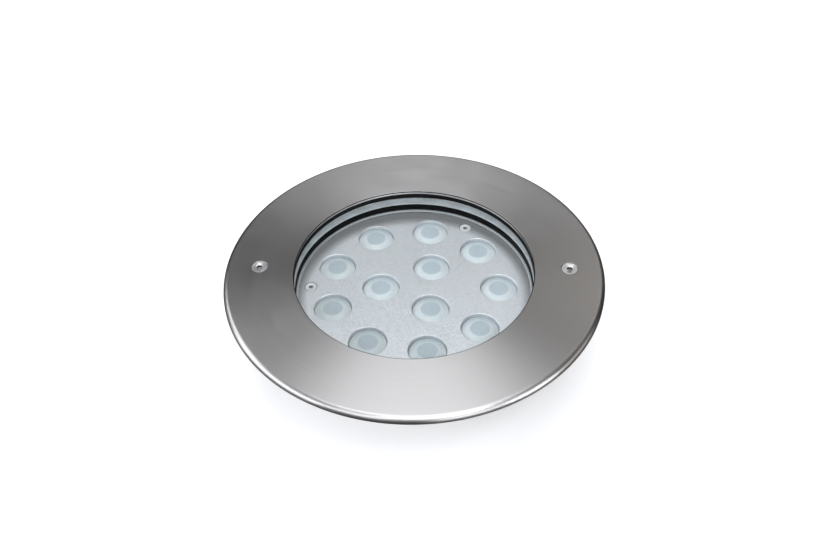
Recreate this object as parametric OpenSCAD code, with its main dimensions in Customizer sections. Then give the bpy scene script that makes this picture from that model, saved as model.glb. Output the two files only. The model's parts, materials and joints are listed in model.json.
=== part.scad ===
// Recessed underwater light: twelve lamps under a thick glass in a turned steel body.
// z = 0 is the plane where the face ring seats on its niche, +Z looks out of the window,
// the two face screws lie on the X axis and the cable gland points along +Y.

/* [Face ring] */
// Outside diameter of the face ring
ring_d = 225; // [216:1:260]
// Thickness of the face ring
ring_t = 4; // [3.2:0.2:6]
// Thickness of the lip that reaches over the clamp ring
ring_lip_t = 1.6; // [1:0.1:2]
// Radius of the rounded outer edge, held below the ring's thickness
ring_edge_r = 3.2; // [0.6:0.2:3.6]
// Flat left under the rounded edge
ring_edge_land = 0.4; // [0.2:0.1:1]
// Diameter of the window opening
window_d = 143; // [140:0.5:146]
// Small bevel round the window
ring_bevel = 0.4; // [0.2:0.1:0.6]
// Metal left between the clamp recess and each screw's countersink
recess_to_screw = 0.4; // [0.2:0.1:3]
// Depth of the relief that keeps the ring off the niche except at its rim
ring_relief = 0.3; // [0.1:0.1:0.8]

/* [Face screws] */
// Thread diameter of the two face screws
ring_screw_d = 5; // [4:0.5:6]
// Head diameter of the face screws
ring_head_d = 9.5; // [8.8:0.1:10.2]
// Diameter of the waist that lets the face screws turn in their clips
ring_waist_d = 3.9; // [3.2:0.1:3.9]
// Length of the face screws over all
ring_screw_len = 30; // [22:1:40]
// Width across flats of the face screws' sockets
ring_socket_af = 3; // [2.5:0.5:4]
// Outside diameter of the clips that keep the face screws captive
clip_d = 9; // [8:0.5:11]
// Thickness of each clip
clip_t = 1.2; // [0.8:0.1:2]

/* [Glass and its seals] */
// Thickness of the glass
glass_t = 10; // [6:0.5:12]
// How far the glass reaches under the ring, beyond the window
glass_overlap = 5.5; // [5:0.1:7]
// Bevel on both edges of the glass
glass_bevel = 0.5; // [0.2:0.1:1]
// Thickness of the black seal where it lies on the glass
upper_seal_t = 1.6; // [1.2:0.1:2.4]
// Width of the black seal where it stands up inside the clamp ring
upper_seal_w = 1.8; // [1.2:0.1:2.4]
// Thickness of the grey seal under the glass
lower_seal_t = 1; // [0.6:0.1:2]

/* [Clamp ring] */
// Thickness of the clamp ring
clamp_t = 3.6; // [3.3:0.1:5]
// Thickness of the clamp ring's inner lip
clamp_lip_t = 1.6; // [1.2:0.1:2]
// Number of clamp screws
clamp_screw_n = 8; // [6:1:12]
// Thread diameter of the clamp screws
clamp_screw_d = 4; // [3:0.5:5]
// Head diameter of the clamp screws
clamp_head_d = 7.3; // [6.4:0.1:7.4]

/* [Housing] */
// Metal left beside the heads of the clamp screws
clamp_land = 0.25; // [0.2:0.05:1.2]
// Steel left under the seat of the glass
seat_t = 1.9; // [1.5:0.1:4]
// Wall of the cup under the flange
cup_wall = 3; // [2:0.5:3.5]
// Thickness of the housing's floor
floor_t = 4; // [3.8:0.2:6]
// Width of each mounting ear
ear_w = 16; // [13:1:20]
// Thickness of each mounting ear
ear_t = 6; // [4:0.5:8]
// Room between the driver board and the neck round it
driver_room = 5; // [3:0.5:7]
// Wall of the neck
neck_wall = 8; // [7.8:0.2:9]
// Height of the neck
neck_h = 28; // [28:1:36]
// Diameter of the hole for the lamp leads
lead_hole_d = 10; // [8:1:14]

/* [Cover plate] */
// Height of the black baffle over the plate's rim
baffle_h = 3.9; // [2:0.1:6]
// Wall of the black baffle
baffle_wall = 1; // [0.6:0.1:1.4]
// Thickness of the cover plate
plate_t = 3; // [2.4:0.1:4]
// Height of the plate's rim above its face
rim_h = 0.9; // [0.3:0.1:2]
// Width of the plate's rim
rim_w = 1.6; // [1:0.1:3]
// Distance of the three plate screws from the plate's edge
plate_screw_in = 9.3; // [8:0.1:12]
// Thread diameter of the plate screws
plate_screw_d = 4; // [3:0.5:4.5]
// Head diameter of the plate screws
plate_head_d = 7.1; // [6.4:0.1:7.4]
// Width across flats of the plate screws' sockets
plate_socket_af = 2.5; // [2:0.5:3]
// Outside diameter of the posts under the plate
post_d = 7; // [6.2:0.2:8]
// Height of the posts under the plate
post_h = 8; // [6:0.5:12]

/* [Lenses and lamps] */
// Number of lamps in the outer circle
outer_n = 9; // [6:1:9]
// Number of lamps in the inner circle
inner_n = 3; // [2:1:3]
// Distance of the outer circle of lamps from the plate's edge
outer_in = 21; // [19:0.5:24]
// Radius of the inner circle of lamps
inner_r = 20.25; // [19:0.25:22]
// Diameter of each lens
lens_d = 21.6; // [18:0.2:22]
// Gap between each lens and its hole in the plate
lens_gap = 0.4; // [0.4:0.1:1.3]
// Bevel round each hole in the plate
lens_hole_bevel = 0.5; // [0.2:0.1:0.8]
// Diameter of the flat on the front of each lens
lens_flat_d = 13.5; // [10:0.5:16]
// Depth of the bevel round that flat
lens_bevel_h = 1.7; // [0.8:0.1:2.4]
// Height of the straight edge below the bevel
lens_edge_h = 1.4; // [0.6:0.2:2]
// How far the lens flats lie below the plate's face
lens_sink = 0.4; // [0.2:0.1:1]
// Diameter of each lens's foot on the board
lens_foot_d = 10.4; // [9.4:0.2:12]
// Width of each lamp's square package
led_w = 3.5; // [3:0.1:4]
// Diameter of each lamp's dome
led_dome_d = 2.6; // [2:0.1:2.8]

/* [Board and heat path] */
// Diameter of the lamp board
board_d = 136; // [124:1:144]
// Room between the lamp board and the cup round it
board_room = 4.4; // [3:0.1:6]
// Thickness of the lamp board
board_t = 1.6; // [1:0.2:2]
// Thickness of the thermal pad
pad_t = 0.3; // [0.2:0.1:1]
// How far the heat spreader stands out past the board
spreader_step = 2; // [0:0.1:2.4]
// Thickness of the heat spreader
spreader_t = 6; // [5:0.5:8]
// Radius of the circle of the three spreader screws
spreader_screw_r = 36; // [34:0.5:37]
// Diameter of each lead between driver and board
lead_d = 1.6; // [1.2:0.1:2]

/* [Driver] */
// Diameter of the driver board
driver_d = 76; // [74:1:80]
// Thickness of the driver board
driver_t = 1.6; // [1:0.2:2]
// Height of the stand-offs over the driver board
standoff_h = 4; // [4:0.5:6]
// Distance of the three stand-offs from the driver board's edge
standoff_in = 6; // [4:0.5:9]
// Width of the square inductor
inductor_w = 14; // [10:1:16]
// Height of the inductor
inductor_h = 8; // [5:0.5:10]
// Diameter of the capacitors
capacitor_d = 8; // [6:0.5:8.5]
// Height of the capacitors
capacitor_h = 11; // [8:0.5:13]
// Width of the terminal block
terminal_w = 15; // [12:1:20]
// Height of the terminal block
terminal_h = 10; // [7:0.5:12]

/* [Rear cover] */
// Thickness of the rear cover
rear_t = 4; // [3.8:0.2:6]
// Height of the spigot that centres the rear cover
spigot_h = 6; // [5:0.5:6.5]
// Wall of the spigot
spigot_wall = 4.5; // [4:0.5:6]
// Section diameter of the rear cover's O-ring
rear_seal_d = 1.9; // [1.6:0.1:2.2]
// Number of rear cover screws
rear_screw_n = 6; // [4:1:8]

/* [Cable gland] */
// Thread diameter of the gland in the neck
gland_d = 16; // [14:0.5:16]
// Height of the gland's axis below the floor
gland_drop = 13; // [12.5:0.5:13.5]
// Wall of the gland's hexagons outside its thread
gland_hex_wall = 1.5; // [1.2:0.1:2]
// Diameter of the cable that the seal takes
cable_d = 9; // [6:0.5:10]
// How far the gland's boss stands out from the neck
boss_out = 3; // [3:0.5:6]
// Diameter of the gland's boss
boss_d = 23; // [22:0.5:24]

/* [Hidden] */
$fn = 96;

// Clearances
thread_gap = 0.1;
screw_sink = 0.1;
screw_edge = 0.1;
screw_tip = 0.3;
cone_gap = 0.15;
hole_gap = 0.25;
slip_gap = 0.2;
seal_gap = 0.05;
pocket_gap = 0.3;
lip_gap = 0.3;
clip_gap = 0.2;
recess_gap = 0.5;
plate_gap = 0.4;
spigot_gap = 0.3;
cable_gap = 0.5;
nut_gap = 0.5;
tap_gap = 0.5;
screw_end_gap = 0.3;
groove_play = 0.5;
least_step = 0.01;
over = 1;

// Depths of the hexagonal sockets
ring_socket_depth = 2.3;
small_socket_depth = 1.6;
rear_socket_depth = 1.3;

// Sizes that follow a screw's head
function mouth_r(head_d) = head_d / 2 + screw_sink + screw_edge + cone_gap;

// Radii, from the window outwards
ring_r = ring_d / 2;
window_r = window_d / 2;
glass_r = window_r + glass_overlap;
upper_seal_r = window_r + lip_gap;
clamp_inner_r = upper_seal_r + upper_seal_w + slip_gap;
upper_seal_foot_r = glass_r - slip_gap;
pocket_r = glass_r + pocket_gap;
clamp_wall_r = pocket_r + slip_gap;
clamp_screw_r = clamp_wall_r + clamp_land + mouth_r(clamp_head_d);
flange_r = clamp_screw_r + mouth_r(clamp_head_d) + clamp_land;
recess_r = flange_r + recess_gap;
ring_screw_r = max((window_r + ring_r) / 2, recess_r + recess_to_screw + mouth_r(ring_head_d));
ear_margin = 1.5;
ring_seat_r = ring_screw_r + ear_w / 2 + ear_margin;
seal_step = 0.6;
bore_r = upper_seal_r + seal_step;
board_r = board_d / 2;
spreader_r = board_r + spreader_step;
cup_inner_r = board_r + board_room;
wide_cup = cup_inner_r > bore_r + least_step;
cup_r = cup_inner_r + cup_wall;
plate_r = cup_inner_r - plate_gap;
baffle_r = cup_inner_r - slip_gap;
plate_screw_r = plate_r - plate_screw_in;
outer_r = plate_r - outer_in;
lens_hole_r = lens_d / 2 + lens_gap;
driver_r = driver_d / 2;
standoff_r = driver_r - standoff_in;
neck_inner_r = driver_r + driver_room;
neck_r = neck_inner_r + neck_wall;

// Levels, from the face of the ring down to the rear cover
recess_z = ring_t - ring_lip_t;
clamp_top_z = recess_z - lip_gap;
clamp_lip_z = clamp_top_z - clamp_lip_t;
flange_top_z = clamp_top_z - clamp_t;
glass_top_z = clamp_lip_z - upper_seal_t;
glass_low_z = glass_top_z - glass_t;
seat_z = glass_low_z - lower_seal_t;
flange_low_z = seat_z - seat_t;
cup_top_z = wide_cup ? flange_low_z : seat_z;
baffle_top_z = cup_top_z - slip_gap;
rim_z = baffle_top_z - baffle_h;
plate_z = rim_z - rim_h;
plate_low_z = plate_z - plate_t;
board_z = plate_low_z - post_h;
pad_z = board_z - board_t;
spreader_z = pad_z - pad_t;
floor_z = spreader_z - spreader_t;
floor_low_z = floor_z - floor_t;
driver_z = floor_low_z - standoff_h;
driver_low_z = driver_z - driver_t;
neck_low_z = floor_low_z - neck_h;
rear_z = neck_low_z - rear_t;
gland_z = floor_low_z - gland_drop;
ear_top_z = ring_relief;
ear_z = ear_top_z - ear_t;
clip_z = ear_z - clip_gap;
waist_spare = 1;
ring_thread_z = clip_z - clip_t - waist_spare;
ear_root = 3;

// Small screws inside, all with the same metric thread
inner_screw_r = 1.5;
inner_hole_r = inner_screw_r + thread_gap;
inner_free_r = inner_screw_r + hole_gap;
pan_r = 2.8;
pan_h = 2;
pan_edge_h = 1.2;
pan_top_r = 2.1;
pan_slot_w = 0.9;
pan_slot_depth = 1;
spreader_tap = 3;
standoff_tap = 3;
standoff_af = 5.5;
standoff_wall = 1;

// Clamp screws, cut to the flange that they hold in
clamp_tap_floor = 2;
clamp_tap_low_z = flange_low_z + clamp_tap_floor;
clamp_screw_low_z = clamp_tap_low_z + tap_gap;
clamp_socket_af = 2.5;

// Plate screws and their posts
post_tap = 6.5;
post_floor = 1;
post_bore_z = max(plate_low_z - post_tap, board_z + post_floor);
plate_screw_low_z = post_bore_z + tap_gap;
post_stud_floor = 1.5;
post_stud = spreader_t - post_stud_floor;

// Lamps: places of the outer circle come first
lamp_n = outer_n + inner_n;
outer_step = 360 / outer_n;
function lamp_r(i) = i <= outer_n ? outer_r : inner_r;
function lamp_angle(i) = i <= outer_n
    ? (i - 1) * outer_step
    : 60 + (i - outer_n - 1) * 360 / inner_n;
function plate_screw_angle(k) = outer_step * (floor(k * outer_n / 3) + 1.5);
function spread_angle(k) = outer_step * (floor(k * outer_n / 3) + 0.5);
function standoff_angle(k) = 30 + k * 120;
function rear_screw_angle(k) = 90 + (k + 0.5) * 360 / rear_screw_n;
led_base_h = 0.6;
lens_cup_r = 3;
lens_cup_edge_h = 2;
lens_cup_h = 3.4;
lens_cup_tip = 0.5;
lens_waist = 0.75;
lens_top_z = plate_z - lens_sink;
lens_bevel_z = lens_top_z - lens_bevel_h;
lens_edge_z = lens_bevel_z - lens_edge_h;

// Leads from the driver to the board
lead_r = lead_d / 2;
lead_x = 2;
lead_bend_r = 2;
lead_run = 5;
lead_tail = 1;
lead_hole_r = lead_hole_d / 2;
lead_z = board_z + lead_r + seal_gap;

// Rear cover
spigot_r = neck_inner_r - spigot_gap;
rear_groove_depth = rear_seal_d - spigot_gap + 2 * seal_gap;
rear_groove_h = rear_seal_d + groove_play;
rear_groove_z = neck_low_z + spigot_h / 2;
rear_screw_r = neck_inner_r + neck_wall / 2;
rear_head_d = 5.5;
rear_socket_af = 2;
rear_tap = 8;
rear_bevel = 0.4;

// Cable gland, along +Y
gland_r = gland_d / 2;
gland_af = gland_d + 2 * gland_hex_wall;
boss_r = boss_d / 2;
boss_y = neck_r + boss_out;
gland_in = 0.5;
gland_in_y = neck_inner_r + gland_in;
gland_hole_run = 3;
gland_hex_t = 5;
gland_hex_y = boss_y + gland_hex_t;
gland_throat_r = cable_d / 2 + cable_gap;
gland_seal_wall = 1.5;
gland_seat_r = cable_d / 2 + gland_seal_wall + thread_gap;
gland_seat_depth = 1;
gland_seat_y = gland_hex_y - gland_seat_depth;
gland_sleeve_r = gland_r - slip_gap;
gland_sleeve_len = 9;
gland_sleeve_y = gland_hex_y + gland_sleeve_len;
gland_nut_y = gland_hex_y + nut_gap;
gland_nut_len = 13;
gland_nut_hex_len = 9.1;
gland_nut_wall = 2;
gland_nut_taper = 0.8;
gland_seal_play = 0.4;
gland_seal_y = gland_nut_y + gland_nut_len - gland_nut_wall - gland_seal_play;
gland_ring_r = 0.75;

// Driver parts: place of each on the board's underside
inductor_at = [-16, -6];
inductor_flange = 0.25;
inductor_coil = 0.42;
capacitor_at = [[12, -12], [20.5, -4.5], [3.5, -18]];
capacitor_bead_h = 1.4;
capacitor_bead = 0.4;
chip_at = [12, 4];
chip_size = [6, 5, 1.8];
chip_leg_n = 4;
chip_leg_w = 0.5;
chip_leg_out = 0.9;
chip_leg_h = 0.7;
terminal_in = 15;
terminal_at = [0, driver_r - terminal_in];
terminal_l = 9;
terminal_entry = 1 / 7;
terminal_screw = 0.8;
terminal_entry_z = 0.45;

LENSES = [for (i = [1:lamp_n]) str("lens_", i)];
LEDS = [for (i = [1:lamp_n]) str("led_", i)];

// Shapes that several sub-parts share

// Flat ring between two levels
module band(r_in, r_out, low, high) {
    rotate_extrude()
        translate([r_in, low])
            square([r_out - r_in, high - low]);
}

// Round bar between two levels
module bar(r, low, high) {
    translate([0, 0, low])
        cylinder(r = r, h = high - low);
}

// Hexagonal bar between two levels, given its width across flats
module hex_bar(af, low, high) {
    translate([0, 0, low])
        cylinder(r = af / sqrt(3), h = high - low, $fn = 6);
}

// Child at a radius and an angle round the Z axis
module polar(r, angle) {
    rotate([0, 0, angle])
        translate([r, 0, 0])
            children();
}

// Countersunk screw along Z, head up, with a hexagonal socket
module countersunk_screw(head_d, thread_d, top, low, socket_af, socket_depth) {
    head_r = head_d / 2;
    thread_r = thread_d / 2;
    edge_z = top - screw_edge;
    cone_z = edge_z - (head_r - thread_r);
    tip = thread_r * screw_tip;
    difference() {
        rotate_extrude()
            polygon([
                [0, low],
                [thread_r - tip, low],
                [thread_r, low + tip],
                [thread_r, cone_z],
                [head_r, edge_z],
                [head_r - screw_edge, top],
                [0, top]
            ]);
        hex_bar(socket_af, top - socket_depth, top + over);
    }
}

// Groove turned in such a screw down to a waist, with a sloping lower end
module waist(waist_r, thread_r, low, high) {
    step = thread_r - waist_r + over;
    rotate_extrude()
        polygon([
            [waist_r, low],
            [waist_r + step, low - step],
            [waist_r + step, high],
            [waist_r, high]
        ]);
}

// Hole for such a screw in a face at the level top
module countersink(head_d, hole_r, top, low) {
    mouth = mouth_r(head_d);
    cone_h = mouth - hole_r;
    bar(hole_r, low, top + over);
    translate([0, 0, top - cone_h])
        cylinder(r1 = hole_r, r2 = mouth + over, h = cone_h + over);
}

// Pan-head screw along Z with its head on the level seat and its shank below
module pan_screw(seat, low) {
    difference() {
        rotate_extrude()
            polygon([
                [0, low],
                [inner_screw_r, low],
                [inner_screw_r, seat],
                [pan_r, seat],
                [pan_r, seat + pan_edge_h],
                [pan_top_r, seat + pan_h],
                [0, seat + pan_h]
            ]);
        translate([-pan_r, -pan_slot_w / 2, seat + pan_h - pan_slot_depth])
            cube([2 * pan_r, pan_slot_w, pan_slot_depth + over]);
    }
}

// Face ring

module face_ring_profile() {
    edge = min(ring_edge_r, ring_t - ring_edge_land);
    difference() {
        union() {
            translate([window_r, 0])
                square([ring_r - edge - window_r, ring_t]);
            translate([ring_r - edge, 0])
                square([edge, ring_t - edge]);
            translate([ring_r - edge, ring_t - edge])
                intersection() {
                    circle(r = edge);
                    square([edge, edge]);
                }
        }
        translate([window_r - over, -over])
            square([recess_r - window_r + over, recess_z + over]);
        translate([recess_r - over, -over])
            square([ring_seat_r - recess_r + over, ring_relief + over]);
        polygon([
            [window_r - over, ring_t + over],
            [window_r - over, ring_t - ring_bevel - over],
            [window_r, ring_t - ring_bevel],
            [window_r + ring_bevel + over, ring_t + over]
        ]);
    }
}

module face_ring() {
    color("silver")
        difference() {
            rotate_extrude()
                face_ring_profile();
            for (angle = [0, 180])
                polar(ring_screw_r, angle)
                    countersink(ring_head_d, ring_screw_d / 2 + hole_gap, ring_t, -over);
        }
}

// Captive screw: its waist is thinner than its thread, so the clip can't fall off
module ring_screw(angle) {
    top = ring_t - screw_sink;
    thread_r = ring_screw_d / 2;
    cone_z = top - screw_edge - (ring_head_d / 2 - thread_r);
    color("lightgray")
        polar(ring_screw_r, angle)
            difference() {
                countersunk_screw(ring_head_d, ring_screw_d, top, top - ring_screw_len,
                    ring_socket_af, ring_socket_depth);
                waist(ring_waist_d / 2, thread_r, ring_thread_z, cone_z);
            }
}

module ring_screw_left() {
    ring_screw(180);
}

module ring_screw_right() {
    ring_screw(0);
}

module screw_clip(angle) {
    color("dimgray")
        polar(ring_screw_r, angle)
            band(ring_waist_d / 2 + seal_gap, clip_d / 2, clip_z - clip_t, clip_z);
}

module screw_clip_left() {
    screw_clip(180);
}

module screw_clip_right() {
    screw_clip(0);
}

// Glass, its seals and the clamp ring

module clamp_ring() {
    color("silver")
        difference() {
            rotate_extrude()
                polygon([
                    [clamp_inner_r, clamp_lip_z],
                    [clamp_wall_r, clamp_lip_z],
                    [clamp_wall_r, flange_top_z],
                    [flange_r, flange_top_z],
                    [flange_r, clamp_top_z],
                    [clamp_inner_r, clamp_top_z]
                ]);
            for (k = [0:clamp_screw_n - 1])
                polar(clamp_screw_r, (k + 0.5) * 360 / clamp_screw_n)
                    countersink(clamp_head_d, clamp_screw_d / 2 + hole_gap,
                        clamp_top_z, flange_top_z - over);
        }
}

module clamp_screws() {
    color("lightgray")
        for (k = [0:clamp_screw_n - 1])
            polar(clamp_screw_r, (k + 0.5) * 360 / clamp_screw_n)
                countersunk_screw(clamp_head_d, clamp_screw_d, clamp_top_z - screw_sink,
                    clamp_screw_low_z, clamp_socket_af, small_socket_depth);
}

module glass_gasket_upper() {
    color("black")
        rotate_extrude()
            polygon([
                [upper_seal_r, glass_top_z],
                [upper_seal_foot_r, glass_top_z],
                [upper_seal_foot_r, clamp_lip_z],
                [upper_seal_r + upper_seal_w, clamp_lip_z],
                [upper_seal_r + upper_seal_w, recess_z],
                [upper_seal_r, recess_z]
            ]);
}

module glass() {
    color("lightblue", 0.4)
        rotate_extrude()
            polygon([
                [0, glass_low_z],
                [glass_r - glass_bevel, glass_low_z],
                [glass_r, glass_low_z + glass_bevel],
                [glass_r, glass_top_z - glass_bevel],
                [glass_r - glass_bevel, glass_top_z],
                [0, glass_top_z]
            ]);
}

module glass_gasket_lower() {
    color("slategray")
        band(bore_r, glass_r, seat_z, glass_low_z);
}

// Housing

module housing_profile() {
    bevel = 1;
    lip = wide_cup
        ? [[bore_r, seat_z], [bore_r, cup_top_z], [cup_inner_r, cup_top_z]]
        : [[cup_inner_r, cup_top_z]];
    polygon(concat(
        [
            [lead_hole_r, floor_low_z],
            [neck_inner_r, floor_low_z],
            [neck_inner_r, neck_low_z],
            [neck_r, neck_low_z],
            [neck_r, floor_low_z],
            [cup_r - bevel, floor_low_z],
            [cup_r, floor_low_z + bevel],
            [cup_r, flange_low_z],
            [flange_r - bevel, flange_low_z],
            [flange_r, flange_low_z + bevel],
            [flange_r, flange_top_z],
            [pocket_r, flange_top_z],
            [pocket_r, seat_z]
        ],
        lip,
        [
            [cup_inner_r, floor_z],
            [lead_hole_r, floor_z]
        ]
    ));
}

// Ear that takes a face screw and carries the ring
module ear(angle) {
    rotate([0, 0, angle]) {
        translate([flange_r - ear_root, -ear_w / 2, ear_z])
            cube([ring_screw_r - flange_r + ear_root, ear_w, ear_t]);
        translate([ring_screw_r, 0, ear_z])
            cylinder(r = ear_w / 2, h = ear_t);
    }
}

module housing() {
    color("gainsboro")
        difference() {
            union() {
                rotate_extrude()
                    housing_profile();
                ear(0);
                ear(180);
                translate([0, neck_inner_r + over, gland_z])
                    rotate([-90, 0, 0])
                        cylinder(r = boss_r, h = boss_y - neck_inner_r - over);
            }
            bar(flange_r + slip_gap, flange_top_z, max(flange_top_z, ear_top_z) + over);
            for (angle = [0, 180])
                polar(ring_screw_r, angle)
                    bar(ring_screw_d / 2 + hole_gap, ear_z - over, ear_top_z + over);
            for (k = [0:clamp_screw_n - 1])
                polar(clamp_screw_r, (k + 0.5) * 360 / clamp_screw_n)
                    bar(clamp_screw_d / 2 + thread_gap, clamp_tap_low_z, flange_top_z + over);
            for (k = [0:2]) {
                polar(spreader_screw_r, spread_angle(k))
                    bar(inner_hole_r, floor_z - spreader_tap - screw_end_gap, floor_z + over);
                polar(standoff_r, standoff_angle(k))
                    bar(inner_hole_r, floor_low_z - over, floor_low_z + standoff_tap);
            }
            for (k = [0:rear_screw_n - 1])
                polar(rear_screw_r, rear_screw_angle(k))
                    bar(inner_hole_r, neck_low_z - over, neck_low_z + rear_tap);
            translate([0, neck_inner_r - gland_hole_run, gland_z])
                rotate([-90, 0, 0])
                    cylinder(
                        r = gland_r + thread_gap,
                        h = boss_y - neck_inner_r + gland_hole_run + over
                    );
        }
}

// Cover plate with its baffle, screws and posts

module baffle_ring() {
    color("#181818")
        band(baffle_r - baffle_wall, baffle_r, rim_z, baffle_top_z);
}

module cover_plate() {
    color("lightsteelblue")
        difference() {
            rotate_extrude()
                polygon([
                    [0, plate_low_z],
                    [plate_r, plate_low_z],
                    [plate_r, rim_z],
                    [plate_r - rim_w, rim_z],
                    [plate_r - rim_w, plate_z],
                    [0, plate_z]
                ]);
            for (i = [1:lamp_n])
                polar(lamp_r(i), lamp_angle(i)) {
                    bar(lens_hole_r, plate_low_z - over, plate_z + over);
                    translate([0, 0, plate_z - lens_hole_bevel])
                        cylinder(
                            r1 = lens_hole_r,
                            r2 = lens_hole_r + lens_hole_bevel + over,
                            h = lens_hole_bevel + over
                        );
                }
            for (k = [0:2])
                polar(plate_screw_r, plate_screw_angle(k))
                    countersink(plate_head_d, plate_screw_d / 2 + hole_gap,
                        plate_z, plate_low_z - over);
        }
}

module cover_screws() {
    color("gray")
        for (k = [0:2])
            polar(plate_screw_r, plate_screw_angle(k))
                countersunk_screw(plate_head_d, plate_screw_d, plate_z - screw_sink,
                    plate_screw_low_z, plate_socket_af, small_socket_depth);
}

module cover_posts() {
    color("goldenrod")
        for (k = [0:2])
            polar(plate_screw_r, plate_screw_angle(k))
                difference() {
                    union() {
                        bar(post_d / 2, board_z, plate_low_z);
                        bar(inner_screw_r, spreader_z - post_stud, board_z + over);
                    }
                    bar(plate_screw_d / 2 + thread_gap, post_bore_z, plate_low_z + over);
                }
}

// Lenses and lamps

module lens(i) {
    color("lightcyan", 0.8)
        polar(lamp_r(i), lamp_angle(i))
            rotate_extrude()
                polygon([
                    [0, board_z + lens_cup_h],
                    [lens_cup_r / 2, board_z + lens_cup_h - lens_cup_tip],
                    [lens_cup_r, board_z + lens_cup_edge_h],
                    [lens_cup_r, board_z],
                    [lens_foot_d / 2, board_z],
                    [lens_d / 2 * lens_waist, (board_z + lens_edge_z) / 2],
                    [lens_d / 2, lens_edge_z],
                    [lens_d / 2, lens_bevel_z],
                    [lens_flat_d / 2, lens_top_z],
                    [0, lens_top_z]
                ]);
}

module led(i) {
    dome_r = led_dome_d / 2;
    color("khaki")
        polar(lamp_r(i), lamp_angle(i)) {
            translate([-led_w / 2, -led_w / 2, board_z])
                cube([led_w, led_w, led_base_h]);
            translate([0, 0, board_z + led_base_h])
                rotate_extrude()
                    intersection() {
                        circle(r = dome_r);
                        square([dome_r, dome_r]);
                    }
        }
}

module led_board() {
    color("white")
        difference() {
            bar(board_r, pad_z, board_z);
            bar(lead_hole_r, pad_z - over, board_z + over);
            for (k = [0:2]) {
                polar(spreader_screw_r, spread_angle(k))
                    bar(inner_free_r, pad_z - over, board_z + over);
                polar(plate_screw_r, plate_screw_angle(k))
                    bar(inner_free_r, pad_z - over, board_z + over);
            }
        }
}

module thermal_pad() {
    color("lightgray")
        difference() {
            bar(board_r, spreader_z, pad_z);
            bar(lead_hole_r, spreader_z - over, pad_z + over);
            for (k = [0:2]) {
                polar(spreader_screw_r, spread_angle(k))
                    bar(inner_free_r, spreader_z - over, pad_z + over);
                polar(plate_screw_r, plate_screw_angle(k))
                    bar(inner_free_r, spreader_z - over, pad_z + over);
            }
        }
}

module heat_spreader() {
    color("lightslategray")
        difference() {
            bar(spreader_r, floor_z, spreader_z);
            bar(lead_hole_r, floor_z - over, spreader_z + over);
            for (k = [0:2]) {
                polar(spreader_screw_r, spread_angle(k))
                    bar(inner_free_r, floor_z - over, spreader_z + over);
                polar(plate_screw_r, plate_screw_angle(k))
                    bar(inner_hole_r, spreader_z - post_stud - tap_gap, spreader_z + over);
            }
        }
}

module spreader_screws() {
    color("gray")
        for (k = [0:2])
            polar(spreader_screw_r, spread_angle(k))
                pan_screw(board_z, floor_z - spreader_tap);
}

// Lead that rises through the holes, bends outwards and lies on the board
module led_lead(side) {
    bend_z = lead_z - lead_bend_r;
    low = driver_low_z - lead_tail;
    rotate([0, 0, side > 0 ? 0 : 180]) {
        translate([lead_x, 0, low])
            cylinder(r = lead_r, h = bend_z - low);
        translate([lead_x + lead_bend_r, 0, bend_z])
            rotate([90, 0, 0])
                rotate([0, 0, 90])
                    rotate_extrude(angle = 90)
                        translate([lead_bend_r, 0])
                            circle(r = lead_r);
        translate([lead_x + lead_bend_r, 0, lead_z])
            rotate([0, 90, 0])
                cylinder(r = lead_r, h = lead_run);
    }
}

module led_lead_red() {
    color("firebrick")
        led_lead(1);
}

module led_lead_black() {
    color("#202020")
        led_lead(-1);
}

// Driver under the floor

module driver_board() {
    color("darkgreen")
        difference() {
            bar(driver_r, driver_low_z, driver_z);
            for (k = [0:2])
                polar(standoff_r, standoff_angle(k))
                    bar(inner_free_r, driver_low_z - over, driver_z + over);
            for (side = [-1, 1])
                translate([side * lead_x, 0, 0])
                    bar(lead_r + thread_gap, driver_low_z - over, driver_z + over);
        }
}

module driver_standoffs() {
    color("goldenrod")
        for (k = [0:2])
            polar(standoff_r, standoff_angle(k))
                difference() {
                    union() {
                        hex_bar(standoff_af, driver_z, floor_low_z);
                        bar(inner_screw_r, floor_low_z - over,
                            floor_low_z + standoff_tap - screw_end_gap);
                    }
                    bar(inner_hole_r, driver_z - over, floor_low_z - standoff_wall);
                }
}

module driver_screws() {
    shank = driver_t + standoff_h - standoff_wall - screw_end_gap;
    color("gray")
        for (k = [0:2])
            polar(standoff_r, standoff_angle(k))
                translate([0, 0, driver_low_z])
                    mirror([0, 0, 1])
                        pan_screw(0, -shank);
}

// Two square flanges with a round coil between them
module driver_inductor() {
    flange_h = inductor_h * inductor_flange;
    color("dimgray")
        translate([inductor_at[0], inductor_at[1], driver_low_z - inductor_h]) {
            for (level = [0, inductor_h - flange_h])
                translate([-inductor_w / 2, -inductor_w / 2, level])
                    cube([inductor_w, inductor_w, flange_h]);
            cylinder(r = inductor_w * inductor_coil, h = inductor_h);
        }
}

// Cans with a bead rolled in near the board
module driver_capacitors() {
    can_r = capacitor_d / 2;
    color("midnightblue")
        for (place = capacitor_at)
            translate([place[0], place[1], driver_low_z])
                mirror([0, 0, 1])
                    rotate_extrude()
                        polygon([
                            [0, 0],
                            [can_r, 0],
                            [can_r, capacitor_bead_h - capacitor_bead],
                            [can_r - capacitor_bead, capacitor_bead_h],
                            [can_r, capacitor_bead_h + capacitor_bead],
                            [can_r, capacitor_h - capacitor_bead],
                            [can_r - capacitor_bead, capacitor_h],
                            [0, capacitor_h]
                        ]);
}

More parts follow.
